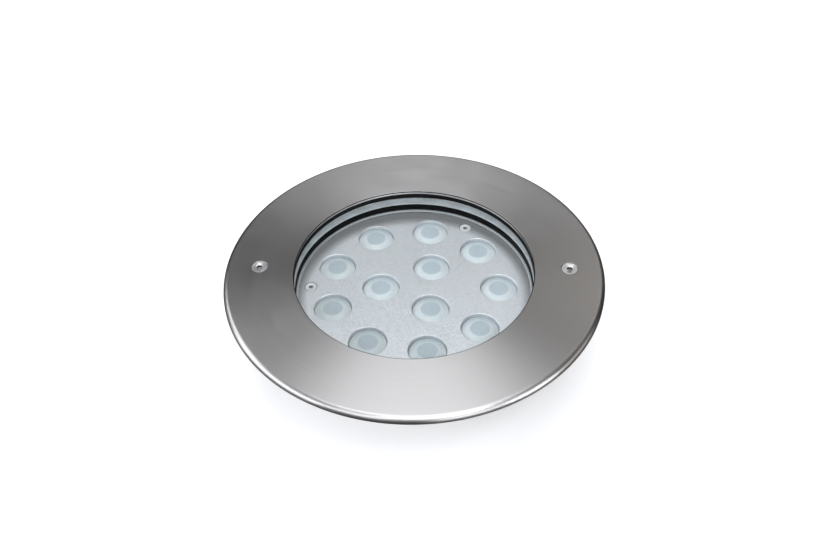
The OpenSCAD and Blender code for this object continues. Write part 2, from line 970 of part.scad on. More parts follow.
module driver_chip() {
    pitch = chip_size[0] / chip_leg_n;
    color("#282828")
        translate([chip_at[0], chip_at[1], driver_low_z - chip_size[2]]) {
            translate([-chip_size[0] / 2, -chip_size[1] / 2, 0])
                cube(chip_size);
            for (k = [0:chip_leg_n - 1])
                translate([
                    (k + 0.5) * pitch - chip_size[0] / 2 - chip_leg_w / 2,
                    -chip_size[1] / 2 - chip_leg_out,
                    chip_size[2] - chip_leg_h
                ])
                    cube([chip_leg_w, chip_size[1] + 2 * chip_leg_out, chip_leg_h]);
        }
}

module terminal_block() {
    entry_r = terminal_w * terminal_entry;
    entry_z = terminal_h * terminal_entry_z;
    color("seagreen")
        translate([terminal_at[0], terminal_at[1], driver_low_z - terminal_h])
            difference() {
                translate([-terminal_w / 2, -terminal_l / 2, 0])
                    cube([terminal_w, terminal_l, terminal_h]);
                for (side = [-1, 1]) {
                    translate([side * terminal_w / 4, 0, entry_z])
                        rotate([-90, 0, 0])
                            cylinder(r = entry_r, h = terminal_l);
                    translate([side * terminal_w / 4, 0, -over])
                        cylinder(r = entry_r * terminal_screw, h = over + entry_z);
                }
            }
}

// Rear cover

module rear_cover() {
    color("gainsboro")
        difference() {
            rotate_extrude()
                polygon([
                    [0, rear_z],
                    [neck_r - rear_bevel, rear_z],
                    [neck_r, rear_z + rear_bevel],
                    [neck_r, neck_low_z],
                    [spigot_r, neck_low_z],
                    [spigot_r, rear_groove_z - rear_groove_h / 2],
                    [spigot_r - rear_groove_depth, rear_groove_z - rear_groove_h / 2],
                    [spigot_r - rear_groove_depth, rear_groove_z + rear_groove_h / 2],
                    [spigot_r, rear_groove_z + rear_groove_h / 2],
                    [spigot_r, neck_low_z + spigot_h],
                    [spigot_r - spigot_wall, neck_low_z + spigot_h],
                    [spigot_r - spigot_wall, neck_low_z],
                    [0, neck_low_z]
                ]);
            for (k = [0:rear_screw_n - 1])
                polar(rear_screw_r, rear_screw_angle(k))
                    translate([0, 0, rear_z])
                        mirror([0, 0, 1])
                            countersink(rear_head_d, inner_free_r, 0, -rear_t - over);
        }
}

module rear_o_ring() {
    color("#101010")
        rotate_extrude()
            translate([spigot_r - rear_groove_depth + rear_seal_d / 2 + seal_gap, rear_groove_z])
                circle(r = rear_seal_d / 2);
}

module rear_cover_screws() {
    color("lightgray")
        for (k = [0:rear_screw_n - 1])
            polar(rear_screw_r, rear_screw_angle(k))
                translate([0, 0, rear_z])
                    mirror([0, 0, 1])
                        countersunk_screw(rear_head_d, 2 * inner_screw_r, -screw_sink,
                            -rear_t - rear_tap + tap_gap, rear_socket_af,
                            rear_socket_depth);
}

// Cable gland: turned about its own axis, which the last step lays along +Y

module along_gland() {
    translate([0, 0, gland_z])
        rotate([-90, 0, 0])
            children();
}

module gland_body() {
    color("silver")
        along_gland()
            difference() {
                union() {
                    bar(gland_r, gland_in_y, gland_hex_y);
                    hex_bar(gland_af, boss_y, gland_hex_y);
                    bar(gland_sleeve_r, gland_hex_y - over, gland_sleeve_y);
                }
                bar(gland_throat_r, gland_in_y - over, gland_sleeve_y);
                bar(gland_seat_r, gland_seat_y, gland_sleeve_y + over);
                band(gland_r, gland_r + 2 * gland_ring_r + 2 * seal_gap,
                    boss_y - over, boss_y + 2 * gland_ring_r + seal_gap);
            }
}

module gland_o_ring() {
    color("#101010")
        along_gland()
            rotate_extrude()
                translate([gland_r + gland_ring_r + seal_gap, boss_y + gland_ring_r])
                    circle(r = gland_ring_r);
}

module gland_seal() {
    color("#303030")
        along_gland()
            band(cable_d / 2, cable_d / 2 + gland_seal_wall, gland_seat_y, gland_seal_y);
}

module gland_nut() {
    nut_end = gland_nut_y + gland_nut_len;
    nut_r = gland_af / 2;
    hex_end = gland_nut_y + gland_nut_hex_len;
    color("silver")
        along_gland()
            difference() {
                union() {
                    hex_bar(gland_af, gland_nut_y, hex_end);
                    translate([0, 0, hex_end])
                        cylinder(r1 = nut_r, r2 = nut_r * gland_nut_taper, h = nut_end - hex_end);
                }
                bar(gland_sleeve_r + thread_gap, gland_nut_y - over,
                    nut_end - gland_nut_wall);
                bar(gland_throat_r, gland_nut_y, nut_end + over);
            }
}

face_ring();
ring_screw_left();
ring_screw_right();
screw_clip_left();
screw_clip_right();
clamp_ring();
clamp_screws();
glass_gasket_upper();
glass();
glass_gasket_lower();
housing();
baffle_ring();
cover_plate();
cover_screws();
cover_posts();
for (i = [1:lamp_n]) {
    lens(i);
    led(i);
}
led_board();
thermal_pad();
heat_spreader();
spreader_screws();
led_lead_red();
led_lead_black();
driver_board();
driver_standoffs();
driver_screws();
driver_inductor();
driver_capacitors();
driver_chip();
terminal_block();
rear_cover();
rear_o_ring();
rear_cover_screws();
gland_body();
gland_o_ring();
gland_seal();
gland_nut();
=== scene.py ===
"""Finished looks of a recessed underwater light.

Each class is one sub-assembly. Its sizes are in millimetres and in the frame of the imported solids:
z = 0 is the plane where the face ring seats, +Z looks out of the window, the two face screws lie on
the X axis and the cable gland points along +Y. Pieces are scaled to metres as they are handed over.
"""

import json
import logging
import math
from dataclasses import dataclass
from enum import Enum
from typing import Callable, Optional, Sequence, Union

import bmesh
import bpy
from mathutils import Matrix, Vector


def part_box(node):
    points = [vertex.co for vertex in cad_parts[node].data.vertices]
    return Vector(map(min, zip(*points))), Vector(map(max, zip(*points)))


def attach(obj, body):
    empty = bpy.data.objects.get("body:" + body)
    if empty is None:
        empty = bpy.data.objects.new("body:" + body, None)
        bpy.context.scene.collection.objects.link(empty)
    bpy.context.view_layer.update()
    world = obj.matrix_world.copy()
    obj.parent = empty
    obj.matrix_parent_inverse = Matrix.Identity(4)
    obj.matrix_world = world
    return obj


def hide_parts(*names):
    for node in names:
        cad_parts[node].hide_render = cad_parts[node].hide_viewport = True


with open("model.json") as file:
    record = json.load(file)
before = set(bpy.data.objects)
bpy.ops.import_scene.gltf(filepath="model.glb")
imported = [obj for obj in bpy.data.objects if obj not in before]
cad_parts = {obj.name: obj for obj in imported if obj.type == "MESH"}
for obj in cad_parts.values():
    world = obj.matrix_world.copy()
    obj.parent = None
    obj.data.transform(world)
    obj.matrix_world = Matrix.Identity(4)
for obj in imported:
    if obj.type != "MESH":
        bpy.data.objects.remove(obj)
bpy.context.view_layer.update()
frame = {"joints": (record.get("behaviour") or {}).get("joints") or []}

LOG = logging.getLogger("underwater_light")
Colour = tuple[float, float, float]
Place = tuple[float, float, float]

MM = 0.001
# Faces round a full turn of large, middling and small pieces
SPIN_STEPS = 192
MIDDLE_STEPS = 96
SMALL_STEPS = 48
# Vertices nearer than this are one, and levels nearer than this are the same, in millimetres
WELD = 0.0005
LEVEL_TOLERANCE = 0.001
# How far a cutting tool reaches past what it cuts
PAST = 1.0
# Edges sharper than this stay sharp
SHARP_ANGLE = math.radians(34)


class Body(Enum):
    """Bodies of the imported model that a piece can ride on."""

    LAMP = "body"
    LEFT_SCREW = "left_screw"
    RIGHT_SCREW = "right_screw"


class Drive(Enum):
    """Kind of recess in a screw's head."""

    HEXAGON = "hexagon"
    SLOT = "slot"


@dataclass(frozen=True)
class Extent:
    """Radius and levels of a round node, read from its solid."""

    r: float
    low: float
    high: float

    @classmethod
    def of(cls, node: str) -> "Extent":
        """Measures a node.

        Args:
            node: Name of the CAD node.

        Returns:
            Its radius about the Z axis and its lowest and highest level.
        """
        low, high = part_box(node)
        reach = min(high.x, high.y, -low.x, -low.y)
        return cls(reach / MM, low.z / MM, high.z / MM)


@dataclass(frozen=True)
class Corner:
    """Corner of an outline in the plane of an axis, and how far it is rounded."""

    r: float
    z: float
    round: float = 0.0
    steps: int = 4


class Shape:
    """A mesh in millimetres that bmesh operators shape."""

    def __init__(self, bm: Optional[bmesh.types.BMesh] = None) -> None:
        """Wraps a bmesh, or starts an empty one."""
        self.bm = bm if bm is not None else bmesh.new()

    @classmethod
    def outline(cls, corners: Sequence[Corner], closed: bool) -> "Shape":
        """Draws an outline as a wire and rounds its corners.

        Args:
            corners: The corners in order.
            closed: Whether the last corner joins the first.

        Returns:
            The wire in the XZ plane.
        """
        shape = cls()
        verts = [shape.bm.verts.new((corner.r, 0, corner.z)) for corner in corners]
        pairs = zip(verts, verts[1:] + verts[:1] if closed else verts[1:])
        for start, end in pairs:
            shape.bm.edges.new((start, end))
        for vert, corner in zip(verts, corners):
            if corner.round > 0:
                bmesh.ops.bevel(
                    shape.bm, geom=[vert], offset=corner.round, offset_type="OFFSET",
                    segments=corner.steps, profile=0.5, affect="VERTICES", material=-1,
                )
        return shape

    @classmethod
    def turned(cls, corners: Sequence[Corner], steps: int = SPIN_STEPS) -> "Shape":
        """Turns an outline once round the Z axis.

        Args:
            corners: The outline; one that starts and ends on the axis is left open there.
            steps: Number of faces round the axis.

        Returns:
            The closed solid.
        """
        on_axis = corners[0].r < WELD and corners[-1].r < WELD
        shape = cls.outline(corners, closed=not on_axis)
        shape.spin(math.tau, steps, use_merge=True)
        return shape.closed()

    @classmethod
    def band(
        cls, inner: float, outer: float, low: float, high: float, edge: float = 0.0,
        steps: int = SPIN_STEPS,
    ) -> "Shape":
        """Makes a flat ring with rounded edges, or a disc.

        Args:
            inner: Inner radius, nothing for a disc.
            outer: Outer radius.
            low: Lower level.
            high: Upper level.
            edge: Radius of its edges.
            steps: Number of faces round the axis.

        Returns:
            The closed ring or disc.
        """
        inner_edge = edge if inner > 0 else 0.0
        corners = [
            Corner(inner, low, inner_edge), Corner(outer, low, edge),
            Corner(outer, high, edge), Corner(inner, high, inner_edge),
        ]
        return cls.turned(corners, steps)

    @classmethod
    def torus(cls, radius: float, level: float, section: float) -> "Shape":
        """Makes an O-ring of a mean radius and a section radius at a level."""
        shape = cls()
        bmesh.ops.create_circle(shape.bm, segments=20, radius=section)
        upright = Matrix.Translation((radius, 0, level)) @ Matrix.Rotation(math.pi / 2, 4, "X")
        bmesh.ops.transform(shape.bm, matrix=upright, verts=shape.bm.verts)
        shape.spin(math.tau, SPIN_STEPS, use_merge=True)
        return shape.closed()

    @classmethod
    def bar(cls, sides: int, radius: float, low: float, high: float) -> "Shape":
        """Makes an upright prism with a corner on the X axis.

        Args:
            sides: Number of its sides.
            radius: Radius over its corners.
            low: Lower level.
            high: Upper level.

        Returns:
            The closed prism.
        """
        shape = cls()
        bmesh.ops.create_circle(shape.bm, cap_ends=True, segments=sides, radius=radius)
        corner_on_x = Matrix.Rotation(math.radians(-90), 4, "Z")
        bmesh.ops.transform(shape.bm, matrix=corner_on_x, verts=shape.bm.verts)
        bmesh.ops.translate(shape.bm, vec=(0, 0, low), verts=shape.bm.verts)
        shape.drawn_out(list(shape.bm.faces), Vector((0, 0, high - low)))
        return shape.closed()

    @classmethod
    def block(cls, size: Place, centre: Place, rounding: float = 0.0, steps: int = 3) -> "Shape":
        """Makes a block with rounded edges.

        Args:
            size: Its sizes along X, Y and Z.
            centre: Its middle.
            rounding: Radius of its edges.
            steps: Faces across each rounded edge.

        Returns:
            The closed block.
        """
        shape = cls()
        bmesh.ops.create_cube(shape.bm, size=1)
        bmesh.ops.scale(shape.bm, vec=size, verts=shape.bm.verts)
        bmesh.ops.translate(shape.bm, vec=centre, verts=shape.bm.verts)
        if rounding > 0:
            shape.bevel_edges(rounding, steps)
        return shape

    def spin(self, angle: float, steps: int, climb: float = 0.0, use_merge: bool = False) -> None:
        """Spins everything round the Z axis, climbing by the same height at each step.

        Args:
            angle: The whole turn.
            steps: Number of faces along it.
            climb: Height that each step climbs.
            use_merge: Whether the last step joins the first.
        """
        bmesh.ops.spin(
            self.bm, geom=list(self.bm.verts) + list(self.bm.edges), cent=(0, 0, 0),
            axis=(0, 0, 1), dvec=(0, 0, climb), angle=angle, steps=steps, use_merge=use_merge,
        )

    def bevel_edges(self, width: float, steps: int = 3, least: float = math.radians(40)) -> "Shape":
        """Rounds every edge that is sharper than an angle.

        Args:
            width: Width of the bevel.
            steps: Faces across it.
            least: Smallest angle that counts as an edge.

        Returns:
            This shape.
        """
        edges = [e for e in self.bm.edges if e.is_manifold and e.calc_face_angle() > least]
        bmesh.ops.bevel(
            self.bm, geom=edges, offset=width, offset_type="OFFSET", segments=steps,
            profile=0.5, affect="EDGES", clamp_overlap=True, material=-1,
        )
        return self

    def drawn_out(
        self, faces: Sequence[bmesh.types.BMFace], way: Vector
    ) -> list[bmesh.types.BMFace]:
        """Extrudes faces along a vector.

        Args:
            faces: The faces.
            way: How far and where to.

        Returns:
            The faces at the far end.
        """
        drawn = bmesh.ops.extrude_face_region(self.bm, geom=list(faces))["geom"]
        moved = [item for item in drawn if isinstance(item, bmesh.types.BMVert)]
        bmesh.ops.translate(self.bm, vec=way, verts=moved)
        return [item for item in drawn if isinstance(item, bmesh.types.BMFace)]

    def closed(self) -> "Shape":
        """Welds doubled vertices and turns every face outwards."""
        bmesh.ops.remove_doubles(self.bm, verts=self.bm.verts, dist=WELD)
        bmesh.ops.dissolve_degenerate(self.bm, edges=self.bm.edges, dist=WELD / 10)
        bmesh.ops.recalc_face_normals(self.bm, faces=self.bm.faces)
        return self

    def painted(
        self, index: int, chosen: Optional[Callable[[Vector], bool]] = None
    ) -> "Shape":
        """Gives faces a material index.

        Args:
            index: The index.
            chosen: Test of a face's middle; every face without one.

        Returns:
            This shape.
        """
        for face in self.bm.faces:
            if chosen is None or chosen(face.calc_center_median()):
                face.material_index = index
        return self

    def placed(self, *matrices: Matrix) -> "Shape":
        """Copies the shape to one or more places, as one mesh.

        Args:
            *matrices: A transform for each copy.

        Returns:
            The new shape.
        """
        result = Shape()
        for matrix in matrices:
            copy = self.bm.copy()
            bmesh.ops.transform(copy, matrix=matrix, verts=copy.verts)
            result.add(Shape(copy))
        return result

    def add(self, *others: "Shape") -> "Shape":
        """Takes other meshes in beside this one, without joining their surfaces."""
        for other in others:
            mesh = bpy.data.meshes.new("part")
            other.bm.to_mesh(mesh)
            self.bm.from_mesh(mesh)
            bpy.data.meshes.remove(mesh)
        return self

    def cut(self, *tools: "Shape") -> "Shape":
        """Takes the tools away from this shape."""
        return self._combine(Shape().add(*tools), "DIFFERENCE")

    def join(self, *others: "Shape") -> "Shape":
        """Fuses other shapes to this one."""
        for other in others:
            self._combine(other, "UNION")
        return self

    def drilled(self, radius: float, low: float, high: float, places: Sequence[Matrix]) -> "Shape":
        """Drills equal holes between two levels at several places."""
        drill = Shape.band(0, radius, low, high, steps=SMALL_STEPS)
        return self.cut(drill.placed(*places))

    def hulled(self) -> "Shape":
        """Wraps the shape's vertices in their convex hull."""
        hull = bmesh.new()
        for vert in self.bm.verts:
            hull.verts.new(vert.co)
        bmesh.ops.convex_hull(hull, input=list(hull.verts))
        inner = [vert for vert in hull.verts if not vert.link_faces]
        bmesh.ops.delete(hull, geom=inner, context="VERTS")
        flat = math.radians(1)
        bmesh.ops.dissolve_limit(hull, angle_limit=flat, verts=hull.verts, edges=hull.edges)
        return Shape(hull).closed()

    def keep(self, envelope: "Shape") -> "Shape":
        """Keeps what lies inside an envelope."""
        return self._combine(envelope, "INTERSECT")

    def _combine(self, tool: "Shape", operation: str) -> "Shape":
        """Runs one exact boolean and takes its result over.

        Args:
            tool: The other operand.
            operation: Blender's name of the operation.

        Returns:
            This shape.
        """
        holders = [as_object("operand", part.bm) for part in (self, tool)]
        modifier = holders[0].modifiers.new("boolean", "BOOLEAN")
        modifier.operation = operation
        modifier.solver = "EXACT"
        modifier.object = holders[1]
        mesh = evaluated_mesh(holders[0])
        self.bm.clear()
        self.bm.from_mesh(mesh)
        bpy.data.meshes.remove(mesh)
        for holder in holders:
            bpy.data.meshes.remove(holder.data)
        return self


def as_object(name: str, bm: bmesh.types.BMesh) -> bpy.types.Object:
    """Puts a bmesh into the scene.

    Args:
        name: Name of the object and its mesh.
        bm: The bmesh.

    Returns:
        The new object.
    """
    mesh = bpy.data.meshes.new(name)
    bm.to_mesh(mesh)
    made = bpy.data.objects.new(name, mesh)
    bpy.context.scene.collection.objects.link(made)
    return made


def evaluated_mesh(source: bpy.types.Object) -> bpy.types.Mesh:
    """Applies an object's modifiers to a new mesh.

    Args:
        source: The object.

    Returns:
        Its finished mesh.
    """
    depsgraph = bpy.context.evaluated_depsgraph_get()
    return bpy.data.meshes.new_from_object(source.evaluated_get(depsgraph))


def round_z(angle: float, radius: float = 0.0, level: float = 0.0) -> Matrix:
    """Transform that moves out along X, then turns round the Z axis by an angle in degrees."""
    turn = Matrix.Rotation(math.radians(angle), 4, "Z")
    return turn @ Matrix.Translation((radius, 0, level))


def circle(count: int, radius: float, start: float = 0.0) -> list[Matrix]:
    """Equally spaced places on a circle, the first at an angle in degrees."""
    return [round_z(start + 360 * k / count, radius) for k in range(count)]


def along_y(level: float) -> Matrix:
    """Transform that lays the Z axis along +Y at a level."""
    return Matrix.Translation((0, 0, level)) @ Matrix.Rotation(math.radians(-90), 4, "X")


def head_down(angle: float, radius: float, level: float) -> Matrix:
    """Transform that turns a shape upside down at an angle in degrees, a radius and a level."""
    return round_z(angle, radius, level) @ Matrix.Rotation(math.pi, 4, "X")


def hand_over(
    shape: Shape,
    node: str,
    materials: Union[bpy.types.Material, Sequence[bpy.types.Material]],
    body: Body = Body.LAMP,
    replaces: bool = True,
) -> bpy.types.Object:
    """Makes a finished piece of a shape, in place of a CAD node.

    Args:
        shape: The shape, in millimetres.
        node: CAD node that the piece stands for, or the piece's own name.
        materials: One material, or one for each material index.
        body: Body that the piece rides on.
        replaces: Whether a node has this name.

    Returns:
        The piece.
    """
    bmesh.ops.scale(shape.bm, vec=(MM, MM, MM), verts=shape.bm.verts)
    piece = as_object(node + "_finished", shape.bm)
    piece.data.shade_smooth()
    piece.data.set_sharp_from_angle(angle=SHARP_ANGLE)
    weighting = piece.modifiers.new("normals", "WEIGHTED_NORMAL")
    weighting.keep_sharp = True
    rough_mesh = piece.data
    piece.data = evaluated_mesh(piece)
    piece.modifiers.clear()
    bpy.data.meshes.remove(rough_mesh)
    piece.data.name = piece.name
    for material in materials if isinstance(materials, (list, tuple)) else [materials]:
        piece.data.materials.append(material)
    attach(piece, body.value)
    if replaces:
        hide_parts(node)
    LOG.info("%s: %d faces on %s", piece.name, len(piece.data.polygons), body.value)
    return piece


class Graph:
    """Node tree of one material, with a Principled shader at its end."""

    def __init__(self, name: str) -> None:
        """Starts the material."""
        self.material = bpy.data.materials.new(name)
        self.material.use_nodes = True
        self.tree = self.material.node_tree
        self.shader = self.tree.nodes["Principled BSDF"]
        self.out = self.tree.nodes["Material Output"]

    def add(self, kind: str, inputs: Optional[dict] = None, **settings: object) -> bpy.types.Node:
        """Adds a node.

        Args:
            kind: Its type, without the words ShaderNode.
            inputs: Values or sockets for its inputs, by name or number.
            **settings: Its own properties.

        Returns:
            The node.
        """
        node = self.tree.nodes.new("ShaderNode" + kind)
        for key, value in settings.items():
            setattr(node, key, value)
        self.feed(node, inputs or {})
        return node

    def feed(self, node: bpy.types.Node, inputs: dict) -> None:
        """Sets or links a node's inputs."""
        for key, value in inputs.items():
            if isinstance(value, bpy.types.NodeSocket):
                self.tree.links.new(value, node.inputs[key])
            else:
                node.inputs[key].default_value = value

    def set(self, **inputs: object) -> None:
        """Sets or links the shader's inputs, with underscores for the spaces in their names."""
        self.feed(self.shader, {key.replace("_", " "): value for key, value in inputs.items()})

    def place(self, centre: Place = (0, 0, 0)) -> bpy.types.NodeSocket:
        """Object coordinates about a centre in millimetres."""
        source = self.add("TexCoord").outputs["Object"]
        return self.add("Mapping", {0: source, 1: tuple(-part * MM for part in centre)}).outputs[0]

    def noise(
        self, vector: bpy.types.NodeSocket, size: float, detail: float = 3.0, rough: float = 0.5
    ) -> bpy.types.NodeSocket:
        """Noise with features of a size in millimetres."""
        inputs = {"Vector": vector, "Scale": 1 / (size * MM), "Detail": detail, "Roughness": rough}
        return self.add("TexNoise", inputs).outputs[0]

    def remap(
        self, value: bpy.types.NodeSocket, low: float, high: float, start: float = 0.0, end: float = 1.0
    ) -> bpy.types.NodeSocket:
        """Value mapped from start and end to low and high."""
        inputs = {0: value, 1: start, 2: end, 3: low, 4: high}
        return self.add("MapRange", inputs).outputs[0]

    def blend(
        self, share: Union[bpy.types.NodeSocket, float], first: object, second: object
    ) -> bpy.types.NodeSocket:
        """Colour between two colours or sockets."""
        node = self.add("Mix", data_type="RGBA")
        for key, value in ((0, share), (6, first), (7, second)):
            given = (*value, 1.0) if isinstance(value, tuple) else value
            self.feed(node, {key: given})
        return node.outputs[2]

    def math(self, operation: str, *values: object) -> bpy.types.NodeSocket:
        """Result of a Math node."""
        return self.add("Math", dict(enumerate(values)), operation=operation).outputs[0]

    def vector(self, operation: str, *values: object, result: int = 0) -> bpy.types.NodeSocket:
        """Result of a Vector Math node."""
        node = self.add("VectorMath", dict(enumerate(values)), operation=operation)
        return node.outputs[result]

    def bump(self, height: bpy.types.NodeSocket, depth: float) -> bpy.types.NodeSocket:
        """Normal of a relief whose depth is in millimetres."""
        inputs = {"Height": height, "Distance": depth * MM, "Strength": 1.0}
        return self.add("Bump", inputs).outputs[0]

    def lathe(
        self, centre: Place, pitch: float, arc: float, upright: bool = True
    ) -> tuple[bpy.types.NodeSocket, bpy.types.NodeSocket]:
        """Marks that a lathe leaves round an axis.

        Args:
            centre: A point of the axis, in millimetres.
            pitch: Width of a mark.
            arc: How many marks follow each other in a turn, roughly.
            upright: Whether the axis is Z; otherwise it is Y.

        Returns:
            The strength of the marks from 0 to 1, and the direction away from the axis.
        """
        flat = (1, 1, 0) if upright else (1, 0, 1)
        away = self.vector("MULTIPLY", self.place(centre), flat)
        radius = self.vector("LENGTH", away, result=1)
        axis = (0, 0, 1) if upright else (0, 1, 0)
        along = self.vector("DOT_PRODUCT", self.place(centre), axis, result=1)
        reach = {0: self.vector("NORMALIZE", away), 3: arc * pitch * MM / math.tau}
        spread = self.add("VectorMath", reach, operation="SCALE").outputs[0]
        steps = self.add("CombineXYZ", {0: radius, 1: radius, 2: along}).outputs[0]
        marks = self.noise(self.vector("ADD", spread, steps), pitch, detail=2.0)
        return marks, away


@dataclass(frozen=True)
class TurnedSteel:
    """Stainless steel turned on a lathe, with marks that run round its axis."""

    name: str
    tint: Colour = (0.60, 0.59, 0.575)
    roughness: float = 0.34
    anisotropy: float = 0.75
    pitch: float = 0.45
    depth: float = 0.0002
    centre: Place = (0, 0, 0)
    upright: bool = True

    def material(self) -> bpy.types.Material:
        """Makes the material."""
        graph = Graph(self.name)
        marks, away = graph.lathe(self.centre, self.pitch, arc=9, upright=self.upright)
        cloud = graph.noise(graph.place(), 18)
        dull = tuple(0.94 * part for part in self.tint)
        tint = graph.blend(graph.remap(marks, 0, 1, 0.3, 0.7), dull, self.tint)
        wear = graph.remap(cloud, self.roughness - 0.015, self.roughness + 0.015, 0.3, 0.7)
        grain = graph.remap(marks, -0.025, 0.025, 0.3, 0.7)
        graph.set(
            Base_Color=tint, Metallic=1.0, Roughness=graph.math("ADD", wear, grain),
            Anisotropic=self.anisotropy, Tangent=away,
            Normal=graph.bump(marks, self.depth),
        )
        return graph.material


@dataclass(frozen=True)
class SatinMetal:
    """Metal with a fine even grain, such as that of small screws."""

    name: str
    tint: Colour = (0.62, 0.61, 0.60)
    metallic: float = 1.0
    roughness: float = 0.28
    grain: float = 0.25
    depth: float = 0.002
    cloud: float = 6.0
    shade: float = 0.86
    grain_spread: float = 0.06

    def material(self) -> bpy.types.Material:
        """Makes the material."""
        graph = Graph(self.name)
        cloud = graph.noise(graph.place(), self.cloud, detail=4)
        grain = graph.noise(graph.place(), self.grain, detail=2)
        dull = tuple(self.shade * part for part in self.tint)
        tint = graph.blend(graph.remap(cloud, 0, 1, 0.35, 0.65), dull, self.tint)
        least, most = self.roughness - self.grain_spread, self.roughness + self.grain_spread
        spread = graph.remap(grain, least, most, 0.3, 0.7)
        graph.set(
            Base_Color=tint, Metallic=self.metallic, Roughness=spread,
            Normal=graph.bump(grain, self.depth),
        )
        return graph.material


@dataclass(frozen=True)
class Moulded:
    """Moulded rubber or plastic with a fine matt grain."""

    name: str
    tint: Colour
    roughness: float = 0.5
    grain: float = 0.4
    depth: float = 0.004
    scatter: float = 0.0
    lift: float = 1.25
    gloss: float = 0.5

    def material(self) -> bpy.types.Material:
        """Makes the material."""
        graph = Graph(self.name)
        cloud = graph.noise(graph.place(), 9, detail=4)
        grain = graph.noise(graph.place(), self.grain, detail=3)
        worn = tuple(min(1.0, self.lift * part + 0.001) for part in self.tint)
        tint = graph.blend(graph.remap(cloud, 0, 1, 0.35, 0.7), self.tint, worn)
        spread = graph.remap(grain, self.roughness - 0.08, self.roughness + 0.08, 0.3, 0.7)
        graph.set(
            Base_Color=tint, Roughness=spread, Specular_IOR_Level=self.gloss,
            Subsurface_Weight=self.scatter, Subsurface_Scale=0.002,
            Normal=graph.bump(grain, self.depth),
        )
        return graph.material


@dataclass(frozen=True)
class PrintedBoard:
    """Solder mask over the copper tracks of a printed board."""

    name: str
    mask: Colour
    track: Colour
    cell: float = 4.0
    roughness: float = 0.34

    def material(self) -> bpy.types.Material:
        """Makes the material."""
        graph = Graph(self.name)
        cells = {"Vector": graph.place(), "Scale": 1 / (self.cell * MM), "Randomness": 0.8}
        fields = graph.add("TexVoronoi", cells, feature="DISTANCE_TO_EDGE", distance="EUCLIDEAN")
        copper = graph.remap(fields.outputs["Distance"], 0, 1, 0.06, 0.10)
        cloud = graph.noise(graph.place(), 12)
        worn = tuple(0.92 * part for part in self.mask)
        mask = graph.blend(graph.remap(cloud, 0, 1, 0.3, 0.7), worn, self.mask)
        graph.set(
            Base_Color=graph.blend(copper, self.track, mask), Roughness=self.roughness,
            Normal=graph.bump(copper, 0.02),
        )
        return graph.material


@dataclass(frozen=True)
class BlastedPlate:
    """Sand-blasted aluminium with a fine speckle, and a painted shadow near its rim, widest towards +Y.
    """

    name: str
    tint: Colour = (0.79, 0.80, 0.82)
    metallic: float = 0.95
    roughness: float = 0.42
    speck: float = 0.7
    speck_dark: float = 0.74
    speck_light: float = 1.22
    speck_depth: float = 0.010
    # Painted shadow: between the two radii below, measured from a centre moved towards -Y, the tint
    # darkens to dull times itself, standing in for the shade the wall casts near the rim.
    dull: float = 0.30
    shadow_start: float = 64.0
    shadow_full: float = 70.0
    shadow_centre: Place = (0, -6, 0)

    def material(self) -> bpy.types.Material:
        """Makes the material."""
        graph = Graph(self.name)
        speck = graph.noise(graph.place(), self.speck, detail=2, rough=0.7)
        cloud = graph.noise(graph.place(), 22, detail=3)
        dark = tuple(self.speck_dark * part for part in self.tint)
        light = tuple(min(1.0, self.speck_light * part) for part in self.tint)
        speckled = graph.blend(graph.remap(speck, 0, 1, 0.3, 0.7), dark, light)
        tint = graph.blend(graph.remap(cloud, 0, 0.35, 0.35, 0.65), speckled, self.tint)
        spread = graph.remap(speck, self.roughness - 0.07, self.roughness + 0.07, 0.3, 0.7)
        # Painted shadow near the rim, measured from the off-centre point.
        away = graph.vector("MULTIPLY", graph.place(self.shadow_centre), (1, 1, 0))
        radius = graph.vector("LENGTH", away, result=1)
        shadow_share = graph.remap(radius, 0, 1, self.shadow_start * MM, self.shadow_full * MM)
        shadowed_tint = tuple(self.dull * part for part in self.tint)
        graph.set(
            Base_Color=graph.blend(shadow_share, tint, shadowed_tint), Metallic=self.metallic,
            Roughness=spread, Normal=graph.bump(speck, self.speck_depth),
        )
        return graph.material


@dataclass(frozen=True)
class FrostedLens:
    """Frosted clear plastic with faint dotted rings; faces that lean to +Y can take a darker tint as
    painted shade.
    """

    name: str
    centre: Place = (0, 0, 0)
    tint: Colour = (0.43, 0.49, 0.53)
    roughness: float = 0.4
    coat: float = 0.3
    pitch: float = 0.9
    dots: float = 36
    shade_strength: float = 0.0
    shade_lean_start: float = 0.05
    shade_lean_full: float = 0.36
    shade_tint: Colour = (0.43, 0.49, 0.53)

    def material(self) -> bpy.types.Material:
        """Makes the material."""
        graph = Graph(self.name)
        rings, _ = graph.lathe(self.centre, self.pitch, arc=self.dots)
        cloud = graph.noise(graph.place(), 5, detail=2)
        deep = tuple(0.93 * part for part in self.tint)
        mottled = graph.blend(graph.remap(cloud, 0, 1, 0.35, 0.65), deep, self.tint)
        tint = graph.blend(graph.remap(rings, 0, 0.5, 0.4, 0.75), mottled, deep)
        # Painted shade: the more a face's normal leans to +Y, the more it takes the darker tint.
        if self.shade_strength > 0:
            normal = graph.add("TexCoord").outputs["Normal"]
            lean = graph.vector("DOT_PRODUCT", normal, (0, 1, 0), result=1)
            share = graph.remap(lean, 0, self.shade_strength, self.shade_lean_start, self.shade_lean_full)
            tint = graph.blend(share, tint, self.shade_tint)
        graph.set(
            Base_Color=tint, Roughness=self.roughness, IOR=1.49, Subsurface_Weight=0.35,
            Subsurface_Scale=0.003, Subsurface_Radius=(0.85, 0.95, 1.0),
            Coat_Weight=self.coat, Coat_Roughness=0.22, Normal=graph.bump(rings, 0.006),
        )
        return graph.material


